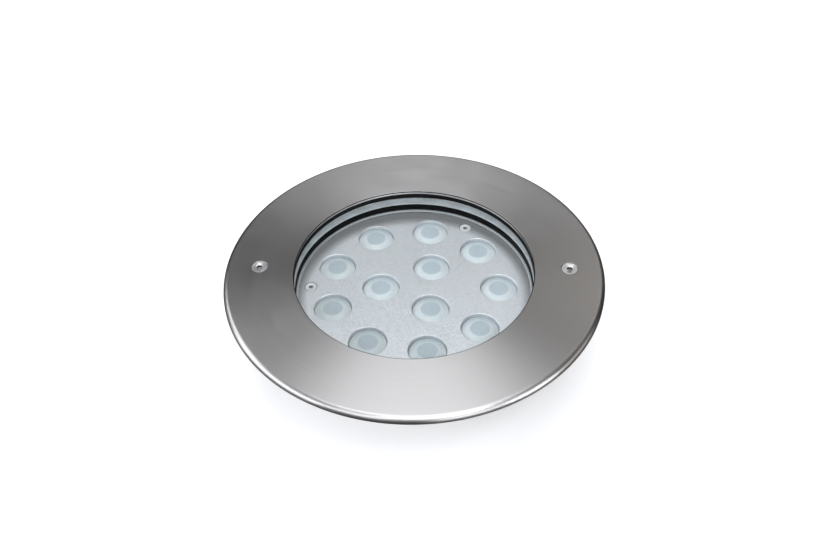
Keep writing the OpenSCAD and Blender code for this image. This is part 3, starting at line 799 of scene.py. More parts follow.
@dataclass(frozen=True)
class WindowGlass:
    """Clear tempered glass with a faint green edge, which lets the light of lamps through."""

    name: str
    tint: Colour = (0.955, 0.985, 0.98)
    roughness: float = 0.0

    def material(self) -> bpy.types.Material:
        """Makes the material."""
        graph = Graph(self.name)
        haze = graph.noise(graph.place(), 30, detail=2)
        clear = tuple(min(1.0, 1.01 * part) for part in self.tint)
        tint = graph.blend(graph.remap(haze, 0, 1, 0.3, 0.7), self.tint, clear)
        graph.set(Base_Color=tint, Roughness=self.roughness, IOR=1.5, Transmission_Weight=1.0)
        window = graph.add("BsdfTransparent", {0: (*self.tint, 1.0)})
        ray = graph.add("LightPath").outputs["Is Shadow Ray"]
        mix = graph.add("MixShader", {0: ray, 1: graph.shader.outputs[0], 2: window.outputs[0]})
        graph.feed(graph.out, {0: mix.outputs[0]})
        return graph.material


@dataclass(frozen=True)
class Panel:
    """Soft light panel far off: where it stands seen from the lamp, its spread and its radiance."""

    azimuth: float
    elevation: float
    wide: float
    high: float
    radiance: float
    warm: bool = False


PANELS = {
    "overhead": Panel(78, 84, 40, 30, 2.7),
    "back_high": Panel(94, 60, 26, 14, 2.6),
    "left_low": Panel(195, 9, 60, 22, 2.1),
    "left_high": Panel(195, 28, 53, 15, 4.0),
    "left_back": Panel(151, 36, 24, 28, 2.4),
    "left_front": Panel(240, 35, 25, 30, 2.7),
    "front_high": Panel(270, 57, 25, 15, 5.8),
    "front_middle": Panel(278, 42, 34, 15, 0.6),
    "front_right_high": Panel(306, 57, 16, 15, 8.0),
    "front_low": Panel(297, 8, 30, 24, 3.2),
    "right_front_low": Panel(330, 10, 30, 22, 5.8),
    "right_low": Panel(0, 9, 28, 22, 1.1, warm=True),
    "back_right": Panel(62, 42, 22, 16, 0.8, warm=True),
}


@dataclass
class Studio:
    """Plain pale studio: the camera, the floor, the light panels and the surroundings."""

    aim: Place = (1.0, -10.5, 4.0)
    distance: float = 559.1
    azimuth: float = 2.49
    elevation: float = 44.39
    roll: float = 1.40
    focal_length: float = 41.46
    floor_reach: float = 4000.0
    floor_white: Colour = (0.9, 0.9, 0.9)
    floor_glow: float = 0.35
    surround: float = 0.02
    surround_white: Colour = (1.0, 0.962, 0.935)
    panel_distance: float = 3900.0
    light_white: Colour = (0.94, 0.955, 1.0)
    warm_white: Colour = (1.0, 0.96, 0.93)

    def build(self) -> None:
        """Makes the whole studio."""
        self.camera()
        self.floor()
        self.world()
        self.lights()
        bpy.context.scene.view_settings.view_transform = "Standard"

    def camera(self) -> None:
        """Sets the camera where the photograph was taken from."""
        data = bpy.data.cameras.new("camera")
        data.lens = self.focal_length
        data.clip_start = 0.01
        camera = bpy.data.objects.new("camera", data)
        turn = Matrix.Rotation(math.radians(self.azimuth), 4, "Z")
        tilt = Matrix.Rotation(math.radians(90 - self.elevation), 4, "X")
        roll = Matrix.Rotation(math.radians(-self.roll), 4, "Z")
        back = Matrix.Translation((0, 0, self.distance * MM))
        middle = Matrix.Translation(Vector(self.aim) * MM)
        camera.matrix_world = middle @ turn @ tilt @ back @ roll
        bpy.context.scene.collection.objects.link(camera)
        bpy.context.scene.camera = camera

    def floor(self) -> None:
        """Lays a pale floor under the rear cover; the metal doesn't mirror it."""
        bm = bmesh.new()
        level = Extent.of("rear_cover").low * MM
        bmesh.ops.create_circle(bm, cap_ends=True, segments=MIDDLE_STEPS, radius=self.floor_reach * MM)
        bmesh.ops.translate(bm, vec=(0, 0, level - MM / 10), verts=bm.verts)
        floor = as_object("floor", bm)
        graph = Graph("floor_paint")
        graph.set(
            Base_Color=(*self.floor_white, 1), Roughness=0.9,
            Emission_Color=(1, 1, 1, 1), Emission_Strength=self.floor_glow,
        )
        below = graph.add("NewGeometry").outputs["Backfacing"]
        clear = graph.add("BsdfTransparent")
        mix = graph.add("MixShader", {0: below, 1: graph.shader.outputs[0], 2: clear.outputs[0]})
        graph.feed(graph.out, {0: mix.outputs[0]})
        floor.data.materials.append(graph.material)
        floor.visible_glossy = False

    def world(self) -> None:
        """Surrounds the scene with an even grey."""
        world = bpy.data.worlds.new("studio")
        world.use_nodes = True
        shade = world.node_tree.nodes["Background"]
        shade.inputs["Color"].default_value = (*self.surround_white, 1)
        shade.inputs["Strength"].default_value = self.surround
        bpy.context.scene.world = world

    def lights(self) -> None:
        """Stands every panel in its place, facing the lamp."""
        for name, panel in PANELS.items():
            self.stand(name, panel)

    def stand(self, name: str, panel: Panel) -> None:
        """Adds one panel.

        Args:
            name: Name of the light.
            panel: Where it stands, its spread and its radiance.
        """
        reach = self.panel_distance * MM
        data = bpy.data.lights.new(name, "AREA")
        data.shape = "RECTANGLE"
        data.size = 2 * reach * math.tan(math.radians(panel.wide / 2))
        data.size_y = 2 * reach * math.tan(math.radians(panel.high / 2))
        data.energy = panel.radiance * math.pi * data.size * data.size_y
        data.color = self.warm_white if panel.warm else self.light_white
        light = bpy.data.objects.new(name, data)
        turn = Matrix.Rotation(math.radians(panel.azimuth + 90), 4, "Z")
        tilt = Matrix.Rotation(math.radians(90 - panel.elevation), 4, "X")
        light.matrix_world = turn @ tilt @ Matrix.Translation((0, 0, reach))
        light.visible_camera = False
        bpy.context.scene.collection.objects.link(light)


@dataclass(frozen=True)
class Screw:
    """Sizes of a screw along Z with its head up."""

    thread_r: float
    pitch: float
    head_r: float
    top: float
    low: float
    socket: float
    socket_depth: float
    drive: Drive = Drive.HEXAGON
    waist_r: float = 0.0
    waist_low: float = 0.0
    head_edge: float = 0.1
    pan_h: float = 2.0
    pan_side: float = 1.2
    turn_steps: int = 28
    shaded_floor: bool = False
    root_share: float = 0.61
    tip_share: float = 0.3
    tip_taper: float = 0.7
    neck_gap: float = 0.6
    neck_h: float = 0.25
    lead_w: float = 0.06
    lead_share: float = 0.62
    drill_share: float = 0.49
    drill_point: float = 0.6

    @property
    def root_r(self) -> float:
        """Radius at the foot of the thread."""
        return self.thread_r - self.root_share * self.pitch

    @property
    def shank_r(self) -> float:
        """Radius just under the head."""
        return self.waist_r or self.root_r

    @property
    def head_low(self) -> float:
        """Level where the head meets the shank."""
        if self.drive is Drive.SLOT:
            return self.top - self.pan_h
        return self.top - self.head_edge - (self.head_r - self.shank_r)

    def thread(self, low: float, high: float) -> Shape:
        """Winds the thread between two levels, cut flat at both ends and open there."""
        turns = math.ceil((high - low) / self.pitch) + 2
        start = low - self.pitch
        shares = ((0.0, False), (0.25, False), (0.56, True), (0.69, True), (1.0, False))
        corners = [
            Corner(self.thread_r if crest else self.root_r, start + share * self.pitch)
            for share, crest in shares
        ]
        shape = Shape.outline(corners, closed=False)
        shape.spin(turns * math.tau, turns * self.turn_steps, self.pitch / self.turn_steps)
        bmesh.ops.remove_doubles(shape.bm, verts=shape.bm.verts, dist=WELD)
        for level, side in ((low, "clear_inner"), (high, "clear_outer")):
            geom = list(shape.bm.verts) + list(shape.bm.edges) + list(shape.bm.faces)
            bmesh.ops.bisect_plane(
                shape.bm, geom=geom, plane_co=(0, 0, level), plane_no=(0, 0, 1), **{side: True}
            )
        return shape

    def _rim(self, shape: Shape, level: float) -> list[bmesh.types.BMEdge]:
        """Open edges of a shape at a level."""
        return [
            edge for edge in shape.bm.edges
            if edge.is_boundary and all(abs(vert.co.z - level) < LEVEL_TOLERANCE for vert in edge.verts)
        ]

    def head(self, neck: float) -> list[Corner]:
        """Outline of the head from its middle down to the level of the neck."""
        if self.drive is Drive.SLOT:
            side = self.head_low + self.pan_side
            return [
                Corner(0, self.top), Corner(self.head_r * 0.75, self.top, 0.3),
                Corner(self.head_r, side, 0.25), Corner(self.head_r, self.head_low, 0.08),
                Corner(self.shank_r, self.head_low, 0.05), Corner(self.shank_r, neck),
            ]
        edge = self.top - self.head_edge
        return [
            Corner(0, self.top), Corner(self.head_r - self.head_edge, self.top, 0.03),
            Corner(self.head_r, edge, 0.08), Corner(self.shank_r, self.head_low, 0.3),
            Corner(self.shank_r, neck),
        ]

    def shape(self) -> Shape:
        """Makes the whole screw.

        Returns:
            The closed screw on the Z axis.
        """
        tip = self.thread_r * self.tip_share
        foot = self.waist_low or self.head_low - self.neck_gap
        thread = self.thread(self.low + tip, foot)
        point = bmesh.ops.extrude_edge_only(thread.bm, edges=self._rim(thread, self.low + tip))
        moved = [item for item in point["geom"] if isinstance(item, bmesh.types.BMVert)]
        bmesh.ops.scale(thread.bm, vec=(self.tip_taper, self.tip_taper, 1), verts=moved)
        bmesh.ops.translate(thread.bm, vec=(0, 0, -tip), verts=moved)
        bmesh.ops.holes_fill(thread.bm, edges=self._rim(thread, self.low), sides=0)
        neck = foot + self.neck_h
        upper = Shape.outline(self.head(neck), closed=False)
        upper.spin(math.tau, SMALL_STEPS, use_merge=True)
        thread.add(upper)
        bmesh.ops.bridge_loops(thread.bm, edges=self._rim(thread, foot) + self._rim(thread, neck))
        # Painted shade: the recess's faces take the dark second material.
        return thread.closed().cut(self.recess()).painted(1, self.in_recess)

    def in_recess(self, middle: Vector) -> bool:
        """Whether a face's middle lies in the recess below its lead, where shade is painted, the floor
        too if that is shaded.
        """
        floor = self.top - self.socket_depth + (-1.0 if self.shaded_floor else 0.05)
        if not floor < middle.z < self.top - 0.1:
            return False
        if self.drive is Drive.SLOT:
            return abs(middle.y) < 0.55 * self.socket
        return math.hypot(middle.x, middle.y) < self.socket / math.sqrt(3)

    def recess(self) -> Shape:
        """Tool that cuts the recess for the key."""
        deep = self.top - self.socket_depth
        if self.drive is Drive.SLOT:
            size = (2.4 * self.head_r, self.socket, 2 * self.socket_depth)
            return Shape.block(size, (0, 0, self.top))
        corner_r = self.socket / math.sqrt(3)
        lead_r, past = corner_r + self.lead_w, self.top + PAST
        lead = Shape.turned(
            [
                Corner(0, self.top - corner_r * self.lead_share), Corner(lead_r, self.top + 0.02),
                Corner(lead_r, past), Corner(0, past),
            ],
            SMALL_STEPS,
        )
        drill_r, start = self.drill_share * self.socket, deep + 0.3
        point = Shape.turned(
            [
                Corner(0, deep - self.drill_point * drill_r), Corner(drill_r, deep),
                Corner(drill_r, start), Corner(0, start),
            ],
            SMALL_STEPS,
        )
        return Shape.bar(6, corner_r, deep, self.top + 0.5).join(point, lead)


@dataclass
class FaceScrews:
    """The two captive screws that hold the face ring, each with its clip."""

    circle_r: float
    top: float
    sink: float = 0.1
    length: float = 30.0
    clip_z: float = -5.9
    clip_t: float = 1.2
    clip_r: float = 4.5
    waist_r: float = 1.95
    waist_spare: float = 1.55

    def build(self) -> None:
        """Makes both screws and both clips."""
        top = self.top - self.sink
        size = Screw(
            thread_r=2.5, pitch=0.8, head_r=4.75, top=top, low=top - self.length, socket=3.0,
            socket_depth=1.7, waist_r=self.waist_r,
            waist_low=self.clip_z - self.clip_t - self.waist_spare, head_edge=0.05,
        )
        blank = size.shape()
        nylon = Moulded("nylon", (0.55, 0.55, 0.52), roughness=0.42, scatter=0.2).material()
        socket = shaded_steel("face_socket_shade")
        for side, angle, body in (("left", 180, Body.LEFT_SCREW), ("right", 0, Body.RIGHT_SCREW)):
            at = round_z(angle, self.circle_r)
            steel = TurnedSteel(
                f"screw_steel_{side}", tint=(0.90, 0.89, 0.88), roughness=0.34, anisotropy=0.2,
                pitch=0.2, centre=tuple(at.translation),
            ).material()
            metals = [steel, socket]
            hand_over(blank.placed(at), f"ring_screw_{side}", metals, body)
            hand_over(self.clip().placed(at), f"screw_clip_{side}", nylon, body)

    def clip(self) -> Shape:
        """Makes one retaining washer with rounded edges."""
        low = self.clip_z - self.clip_t
        return Shape.band(self.waist_r + 0.05, self.clip_r, low, self.clip_z, 0.2, SMALL_STEPS)


def shaded_steel(name: str) -> bpy.types.Material:
    """Dark steel that stands in for the shade at the bottom of a recess: painted shade."""
    return SatinMetal(name, (0.05, 0.05, 0.052), metallic=0.6, roughness=0.5).material()


def countersink_tool(mouth_r: float, hole_r: float, top: float, low: float) -> Shape:
    """Tool for a countersunk hole with a broken edge.

    Args:
        mouth_r: Radius at the face.
        hole_r: Radius of the hole.
        top: Level of the face.
        low: Level below the hole's lower end.

    Returns:
        The tool on the Z axis.
    """
    edge = 0.02
    return Shape.turned(
        [
            Corner(0, low), Corner(hole_r, low), Corner(hole_r, top - mouth_r + hole_r, 0.1),
            Corner(mouth_r - edge, top - edge), Corner(mouth_r + edge, top + edge),
            Corner(mouth_r + edge, top + PAST), Corner(0, top + PAST),
        ],
        MIDDLE_STEPS,
    )


@dataclass
class FaceRing:
    """Turned face ring with a rounded outer edge, its window and two countersinks."""

    ring: Extent
    recess_z: float
    circle_r: float
    window_r: float = 71.5
    window_edge: float = 0.12
    lip_w: float = 0.25
    lip_h: float = 0.5
    edge_r: float = 3.2
    recess_r: float = 86.5
    seat_r: float = 101.5
    relief: float = 0.3
    mouth_r: float = 5.1
    hole_r: float = 2.75

    def build(self) -> None:
        """Makes the ring."""
        ring = Shape.turned(
            [
                Corner(self.window_r, self.recess_z - self.lip_h, 0.05),
                Corner(self.window_r + self.lip_w, self.recess_z - self.lip_h, 0.05),
                Corner(self.window_r + self.lip_w, self.recess_z),
                Corner(self.recess_r, self.recess_z, 0.4),
                Corner(self.recess_r, self.relief, 0.15),
                Corner(self.seat_r, self.relief, 0.1),
                Corner(self.seat_r, self.ring.low, 0.1),
                Corner(self.ring.r, self.ring.low, 0.2),
                Corner(self.ring.r, self.ring.high, self.edge_r, 14),
                Corner(self.window_r, self.ring.high, self.window_edge),
            ],
            2 * SPIN_STEPS,
        )
        tool = countersink_tool(self.mouth_r, self.hole_r, self.ring.high, self.ring.low - PAST)
        ring.cut(tool.placed(*circle(2, self.circle_r))).painted(1, self.in_countersink)
        shade = SatinMetal("countersink_shade", (0.3, 0.3, 0.3), roughness=0.5).material()
        metals = [TurnedSteel("brushed_ring_steel").material(), shade]
        hand_over(ring, "face_ring", metals)

    def in_countersink(self, middle: Vector) -> bool:
        """Whether the middle of a face lies in a countersink, below its edge."""
        out = math.hypot(abs(middle.x) - self.circle_r, middle.y)
        return out < self.mouth_r and middle.z < self.ring.high - 0.03


@dataclass
class GlassSeat:
    """The glass, the seals above and below it, and the ring that clamps them."""

    glass: Extent
    upper: Extent
    lower: Extent
    clamp: Extent
    window_r: float = 71.8
    bead_inset: float = 0.3
    bead_w: float = 0.38
    bead_h: float = 0.6
    bead_top: float = 3.88
    upper_w: float = 1.8
    upper_lip: float = 0.6
    clamp_inner_r: float = 73.8
    clamp_wall_r: float = 77.5
    lip_z: float = 0.5
    lower_inner_r: float = 71.5
    screw_r: float = 81.75
    screw_n: int = 8
    mouth_r: float = 4.0
    hole_r: float = 2.25
    screw_low: float = -11.5

    def build(self) -> None:
        """Makes the five pieces."""
        rubber = Moulded("black_rubber", (0.002, 0.002, 0.002), roughness=0.6, gloss=0.15)
        black = rubber.material()
        grey = Moulded("grey_silicone", (0.52, 0.54, 0.56), roughness=0.5).material()
        steel = TurnedSteel("clamp_steel", roughness=0.3).material()
        bright = SatinMetal("small_screw_steel").material()
        hand_over(self.upper_seal(), "glass_gasket_upper", black)
        # Painted shade: a black ring along the window's edge draws its dark line.
        hand_over(self.bead(), "window_shade_bead", black, replaces=False)
        clear = WindowGlass("clear_glass").material()
        window = hand_over(self.window(), "glass", clear)
        window.visible_diffuse = False
        window.visible_glossy = False
        hand_over(self.lower_seal(), "glass_gasket_lower", grey)
        hand_over(self.clamp_ring(), "clamp_ring", steel)
        metals = [bright, shaded_steel("clamp_socket_shade")]
        hand_over(self.screws(), "clamp_screws", metals)

    def upper_seal(self) -> Shape:
        """Makes the black seal with its standing lip."""
        lip_r = self.window_r + self.upper_w
        return Shape.turned([
            Corner(self.window_r - self.upper_lip, self.upper.low, 0.15),
            Corner(self.upper.r, self.upper.low, 0.25),
            Corner(self.upper.r, self.lip_z, 0.25),
            Corner(lip_r, self.lip_z, 0.2),
            Corner(lip_r, self.upper.high, 0.3),
            Corner(self.window_r, self.upper.high, 0.5),
        ])

    def bead(self) -> Shape:
        """Makes a fine black ring just inside the window's upper edge, which draws the dark line of
        shade there.
        """
        outer_r = self.window_r - self.bead_inset
        top = self.bead_top
        return Shape.band(outer_r - self.bead_w, outer_r, top - self.bead_h, top, 0.12)

    def window(self) -> Shape:
        """Makes the glass with both edges ground."""
        ground = 0.5
        return Shape.turned([
            Corner(0, self.glass.low),
            Corner(self.glass.r - ground, self.glass.low, 0.12, 3),
            Corner(self.glass.r, self.glass.low + ground, 0.12, 3),
            Corner(self.glass.r, self.glass.high - ground, 0.12, 3),
            Corner(self.glass.r - ground, self.glass.high, 0.12, 3),
            Corner(0, self.glass.high),
        ])

    def lower_seal(self) -> Shape:
        """Makes the grey flat seal."""
        return Shape.band(
            self.lower_inner_r, self.lower.r, self.lower.low, self.lower.high, 0.25
        )

    def clamp_ring(self) -> Shape:
        """Makes the clamp ring with its countersunk holes."""
        ring = Shape.turned([
            Corner(self.clamp_inner_r, self.lip_z, 0.2),
            Corner(self.clamp_wall_r, self.lip_z, 0.2),
            Corner(self.clamp_wall_r, self.clamp.low, 0.2),
            Corner(self.clamp.r, self.clamp.low, 0.3),
            Corner(self.clamp.r, self.clamp.high, 0.4),
            Corner(self.clamp_inner_r, self.clamp.high, 0.4),
        ])
        low = self.clamp.low - PAST
        tool = countersink_tool(self.mouth_r, self.hole_r, self.clamp.high, low)
        return ring.cut(tool.placed(*self.places()))

    def screws(self) -> Shape:
        """Makes the clamp screws."""
        size = Screw(
            thread_r=2.0, pitch=0.7, head_r=3.65, top=self.clamp.high - 0.1, low=self.screw_low,
            socket=2.5, socket_depth=1.6, turn_steps=20,
        )
        return size.shape().placed(*self.places())

    def places(self) -> list[Matrix]:
        """Places of the clamp screws."""
        return circle(self.screw_n, self.screw_r, start=180 / self.screw_n)


@dataclass
class CoverPlate:
    """Sand-blasted plate over the lamps, with its baffle, screws and posts."""

    plate: Extent
    baffle: Extent
    board_z: float
    lamps: list[Matrix]
    rim_h: float = 0.9
    rim_w: float = 1.6
    hole_r: float = 11.2
    hole_edge: float = 0.5
    baffle_wall: float = 1.0
    screw_circle: float = 62.7
    screw_hole_r: float = 2.25
    screw_reach: float = 6.0
    mouth_r: float = 3.9
    post_r: float = 3.5
    post_neck_r: float = 2.1
    post_neck_h: float = 6.5
    stud_r: float = 1.5
    stud_h: float = 6.4

    @property
    def face_z(self) -> float:
        """Level of the plate's face inside its rim."""
        return self.plate.high - self.rim_h

    def build(self) -> None:
        """Makes the plate, the baffle, the screws and the posts."""
        black = Moulded("black_sleeve", (0.002, 0.002, 0.002), roughness=0.5, gloss=0.15).material()
        steel = SatinMetal("plate_screw_steel", (0.95, 0.95, 0.95), metallic=0.5, roughness=0.3)
        blasted = BlastedPlate("blasted_aluminium").material()
        brass = SatinMetal("post_brass", (0.72, 0.52, 0.25), roughness=0.3).material()
        # Painted light: the walls of the lens holes get a lighter, non-metallic finish so that they
        # read as lit.
        wall = SatinMetal("painted_light_hole_wall", (0.60, 0.63, 0.66), metallic=0.0, roughness=0.45)
        shade = SatinMetal("plate_countersink_shade", (0.03, 0.03, 0.03), roughness=0.5)
        # Painted shade: the rim gets a darker, rougher copy of the plate's finish.
        rim = BlastedPlate("painted_shade_rim", (0.56, 0.57, 0.58), metallic=0.6, roughness=0.6, dull=1.0)
        finishes = [blasted, wall.material(), shade.material(), rim.material()]
        hand_over(self.disc(), "cover_plate", finishes)
        hand_over(self.sleeve(), "baffle_ring", black)
        metals = [steel.material(), shaded_steel("plate_socket_shade")]
        hand_over(self.screws(), "cover_screws", metals)
        hand_over(self.posts(), "cover_posts", brass)

    def places(self) -> list[Matrix]:
        """Places of the plate screws."""
        return circle(3, self.screw_circle, start=60)

    def disc(self) -> Shape:
        """Makes the plate with its rim and all its holes."""
        inner_r = self.plate.r - self.rim_w
        disc = Shape.turned([
            Corner(0, self.plate.low), Corner(self.plate.r, self.plate.low, 0.3),
            Corner(self.plate.r, self.plate.high, 0.25), Corner(inner_r, self.plate.high, 0.25),
            Corner(inner_r, self.face_z, 0.3), Corner(0, self.face_z),
        ])
        clear = 0.03
        hole = Shape.turned(
            [
                Corner(0, self.plate.low - PAST), Corner(self.hole_r + 0.3, self.plate.low - PAST),
                Corner(self.hole_r, self.plate.low + 0.2, 0.1),
                Corner(self.hole_r, self.face_z + clear, self.hole_edge + clear, 6),
                Corner(self.hole_r + 2, self.face_z + clear),
                Corner(self.hole_r + 2, self.face_z + 2), Corner(0, self.face_z + 2),
            ],
            MIDDLE_STEPS,
        )
        low = self.plate.low - PAST
        sink = countersink_tool(self.mouth_r, self.screw_hole_r, self.face_z, low)
        disc.cut(hole.placed(*self.lamps)).cut(sink.placed(*self.places()))
        # Index 1 puts the painted light on the walls of the lens holes.
        disc.painted(1, self.in_lamp_hole).painted(2, self.in_countersink)
        # Index 3 puts the rim's painted shade on.
        return disc.painted(3, self.on_rim)

    def in_lamp_hole(self, middle: Vector) -> bool:
        """Whether the middle of a face lies on the wall of a lens's hole."""
        level = middle.z < self.face_z - 0.6 * self.hole_edge
        centres = [place.translation for place in self.lamps]
        return level and any(
            abs(math.hypot(middle.x - at.x, middle.y - at.y) - self.hole_r) < 0.35 for at in centres
        )

    def in_countersink(self, middle: Vector) -> bool:
        """Whether the middle of a face lies in a screw's countersink."""
        centres = [place.translation for place in self.places()]
        return middle.z < self.face_z - 0.02 and any(
            math.hypot(middle.x - at.x, middle.y - at.y) < self.mouth_r for at in centres
        )

    def on_rim(self, middle: Vector) -> bool:
        """Whether the middle of a face lies on the rim, which takes a darker finish as painted shade.
        """
        inner = math.hypot(middle.x, middle.y) > self.plate.r - self.rim_w - 0.4
        return inner and middle.z > self.face_z + 0.01

    def sleeve(self) -> Shape:
        """Makes the black baffle."""
        inner_r = self.baffle.r - self.baffle_wall
        return Shape.band(inner_r, self.baffle.r, self.baffle.low, self.baffle.high, 0.2)

    def screws(self) -> Shape:
        """Makes the three plate screws."""
        size = Screw(
            thread_r=2.0, pitch=0.7, head_r=3.55, top=self.face_z - 0.1,
            low=self.plate.low - self.screw_reach, socket=2.5, socket_depth=1.7, turn_steps=24,
            shaded_floor=True,
        )
        return size.shape().placed(*self.places())

    def posts(self) -> Shape:
        """Makes the three posts with their studs."""
        stud_low = self.board_z - self.stud_h
        neck_low = self.plate.low - self.post_neck_h
        post = Shape.turned(
            [
                Corner(0, stud_low), Corner(self.stud_r, stud_low, 0.3),
                Corner(self.stud_r, self.board_z, 0.05), Corner(self.post_r, self.board_z, 0.3),
                Corner(self.post_r, self.plate.low, 0.3),
                Corner(self.post_neck_r, self.plate.low, 0.2),
                Corner(self.post_neck_r, neck_low), Corner(0, neck_low),
            ],
            SMALL_STEPS,
        )
        return post.placed(*self.places())


@dataclass
class Lamps:
    """Twelve lamps, each with a frosted lens over it."""

    lens: Extent
    board_z: float
    lens_top: float
    outer_r: float = 51.0
    outer_n: int = 9
    inner_r: float = 20.25
    inner_n: int = 3
    lens_r: float = 10.8
    flat_r: float = 7.0
    bevel_h: float = 1.7
    edge_h: float = 1.4
    foot_r: float = 5.2
    cup_r: float = 3.0
    cup_h: float = 3.4
    base_w: float = 3.5
    base_h: float = 0.6
    dome_r: float = 1.3

    def places(self) -> list[Matrix]:
        """Places of the lamps, those of the outer circle first."""
        return circle(self.outer_n, self.outer_r) + circle(self.inner_n, self.inner_r, start=60)

    def build(self) -> None:
        """Makes every lens and every lamp."""
        # Painted shade on the bevel: where it leans to +Y it turns to the flat's darker tint.
        bevel = FrostedLens("frosted_bevel", tint=(0.62, 0.655, 0.67), shade_strength=1.0, pitch=2.5).material()
        ceramic = Moulded("white_ceramic", (0.72, 0.72, 0.70), roughness=0.4, grain=0.2).material()
        phosphor = Moulded("phosphor", (0.80, 0.58, 0.10), roughness=0.22, scatter=0.3).material()
        lens, emitter = self.lens_shape(), self.emitter_shape()
        for number, place in enumerate(self.places(), start=1):
            centre = tuple(place.translation)
            flat = FrostedLens(f"frosted_lens_{number}", centre).material()
            hand_over(lens.placed(place), f"lens_{number}", [flat, bevel])
            emitter_at = emitter.placed(place)
            hand_over(emitter_at, f"led_{number}", [ceramic, phosphor])

    def emitter_shape(self) -> Shape:
        """Makes one light-emitting diode: a square ceramic base under a dome."""
        base_z = self.board_z + self.base_h
        middle = (0, 0, self.board_z + self.base_h / 2)
        base = Shape.block((self.base_w, self.base_w, self.base_h), middle, 0.12, 2)
        top = base_z + self.dome_r
        dome = Shape.turned(
            [
                Corner(0, base_z - 0.1), Corner(self.dome_r, base_z - 0.1),
                Corner(self.dome_r, top, self.dome_r * 0.98, 10), Corner(0, top),
            ],
            32,
        )
        return base.add(dome.painted(1))

    def lens_shape(self) -> Shape:
        """Makes one lens on the Z axis."""
        bevel_z = self.lens_top - self.bevel_h
        edge_z = bevel_z - self.edge_h
        floor = self.board_z
        return Shape.turned(
            [
                Corner(0, self.lens_top), Corner(self.flat_r, self.lens_top, 1.6, 6),
                Corner(self.lens_r, bevel_z, 0.4), Corner(self.lens_r, edge_z, 0.4),
                Corner(self.lens_r * 0.75, (floor + edge_z) / 2, 0.6),
                Corner(self.foot_r, floor, 0.2), Corner(self.cup_r, floor, 0.15),
                Corner(self.cup_r, floor + 2, 0.3), Corner(self.cup_r / 2, floor + 2.9, 0.3),
                Corner(0, floor + self.cup_h),
            ],
            MIDDLE_STEPS,
        ).painted(1, lambda middle: middle.z < self.lens_top - 0.05)


@dataclass
class Housing:
    """Turned steel cup with its flange, two ears, a rear neck and a boss for the gland."""

    flange: Extent
    floor_z: float
    ear_circle: float
    flange_top: float = -1.5
    flange_t: float = 12.5
    seat_z: float = -12.1
    pocket_r: float = 77.3
    bore_r: float = 72.4
    cup_r: float = 75.4
    floor_t: float = 4.0
    lead_hole_r: float = 5.0
    neck_r: float = 51.0
    neck_inner_r: float = 43.0
    ear_w: float = 16.0
    ear_t: float = 6.0
    ear_rise: float = 1.8
    boss_r: float = 11.5
    boss_out: float = 3.0
    boss_root: float = 1.0
    gland_z: float = -53.0
    gland_hole_r: float = 8.1
    clamp_circle: float = 81.75
    clamp_tap_r: float = 2.1
    clamp_tap_h: float = 10.5
    tap_r: float = 1.6
    spreader_circle: float = 36.0
    driver_circle: float = 32.0
    driver_tap_h: float = 3.0
    rear_circle: float = 47.0
    rear_tap_h: float = 8.0
    floor_skin: float = 0.7
    ear_hole_r: float = 2.75

    def build(self) -> None:
        """Makes the housing."""
        steel = TurnedSteel(
            "turned_body_steel", tint=(0.56, 0.555, 0.545), roughness=0.36, pitch=0.5, depth=0.0012
        )
        cup = self.cup().join(*[self.ear().placed(round_z(angle)) for angle in (0, 180)])
        cup.join(self.boss())
        hand_over(self.machined(cup), "housing", steel.material())

    def cup(self) -> Shape:
        """Makes the turned body."""
        floor_low = self.floor_z - self.floor_t
        flange_low = self.flange_top - self.flange_t
        return Shape.turned([
            Corner(self.lead_hole_r, floor_low, 0.4), Corner(self.neck_inner_r, floor_low, 0.6),
            Corner(self.neck_inner_r, self.flange.low, 0.3),
            Corner(self.neck_r, self.flange.low, 0.3), Corner(self.neck_r, floor_low, 1.5),
            Corner(self.cup_r, floor_low, 1.7), Corner(self.cup_r, flange_low, 1.0),
            Corner(self.flange.r, flange_low, 1.7), Corner(self.flange.r, self.flange_top, 0.4),
            Corner(self.pocket_r, self.flange_top, 0.3), Corner(self.pocket_r, self.seat_z, 0.2),
            Corner(self.bore_r, self.seat_z, 0.2), Corner(self.bore_r, self.floor_z, 0.8),
            Corner(self.lead_hole_r, self.floor_z, 0.4),
        ])

    def ear(self) -> Shape:
        """Makes one ear on the X axis, with its root inside the flange."""
        top = self.flange_top + self.ear_rise
        disc = Shape.band(0, self.ear_w / 2, top - self.ear_t, top, 0.5, SMALL_STEPS)
        ends = disc.placed(*[round_z(0, r) for r in (self.flange.r - 2, self.ear_circle)])
        inner_r = self.pocket_r + 2
        ear = ends.hulled().cut(Shape.band(0, inner_r, top - 20, top + PAST))
        return ear.cut(Shape.band(0, self.flange.r + 0.2, self.flange_top, top + PAST))

    def boss(self) -> Shape:
        """Makes the boss that the gland screws into."""
        start = self.neck_inner_r + self.boss_root
        end = self.neck_r + self.boss_out
        return Shape.band(0, self.boss_r, start, end, 0.6, MIDDLE_STEPS).placed(along_y(self.gland_z))

    def machined(self, cup: Shape) -> Shape:
        """Drills every hole of the housing."""
        top, low = self.flange_top, self.flange.low
        floor_low = self.floor_z - self.floor_t
        driver_top = floor_low + self.driver_tap_h
        gland = [along_y(self.gland_z)]
        holes = (
            (self.clamp_tap_r, top - self.clamp_tap_h, top + PAST, circle(8, self.clamp_circle, 22.5)),
            (self.tap_r, floor_low + self.floor_skin, self.floor_z + PAST,
             circle(3, self.spreader_circle, 20)),
            (self.tap_r, floor_low - PAST, driver_top, circle(3, self.driver_circle, 30)),
            (self.tap_r, low - PAST, low + self.rear_tap_h, circle(6, self.rear_circle)),
            (self.ear_hole_r, top - 8, top + 4, circle(2, self.ear_circle)),
            (self.gland_hole_r, self.neck_inner_r - 3, self.neck_r + 8, gland),
        )
        for radius, start, end, places in holes:
            cup.drilled(radius, start, end, places)
        return cup


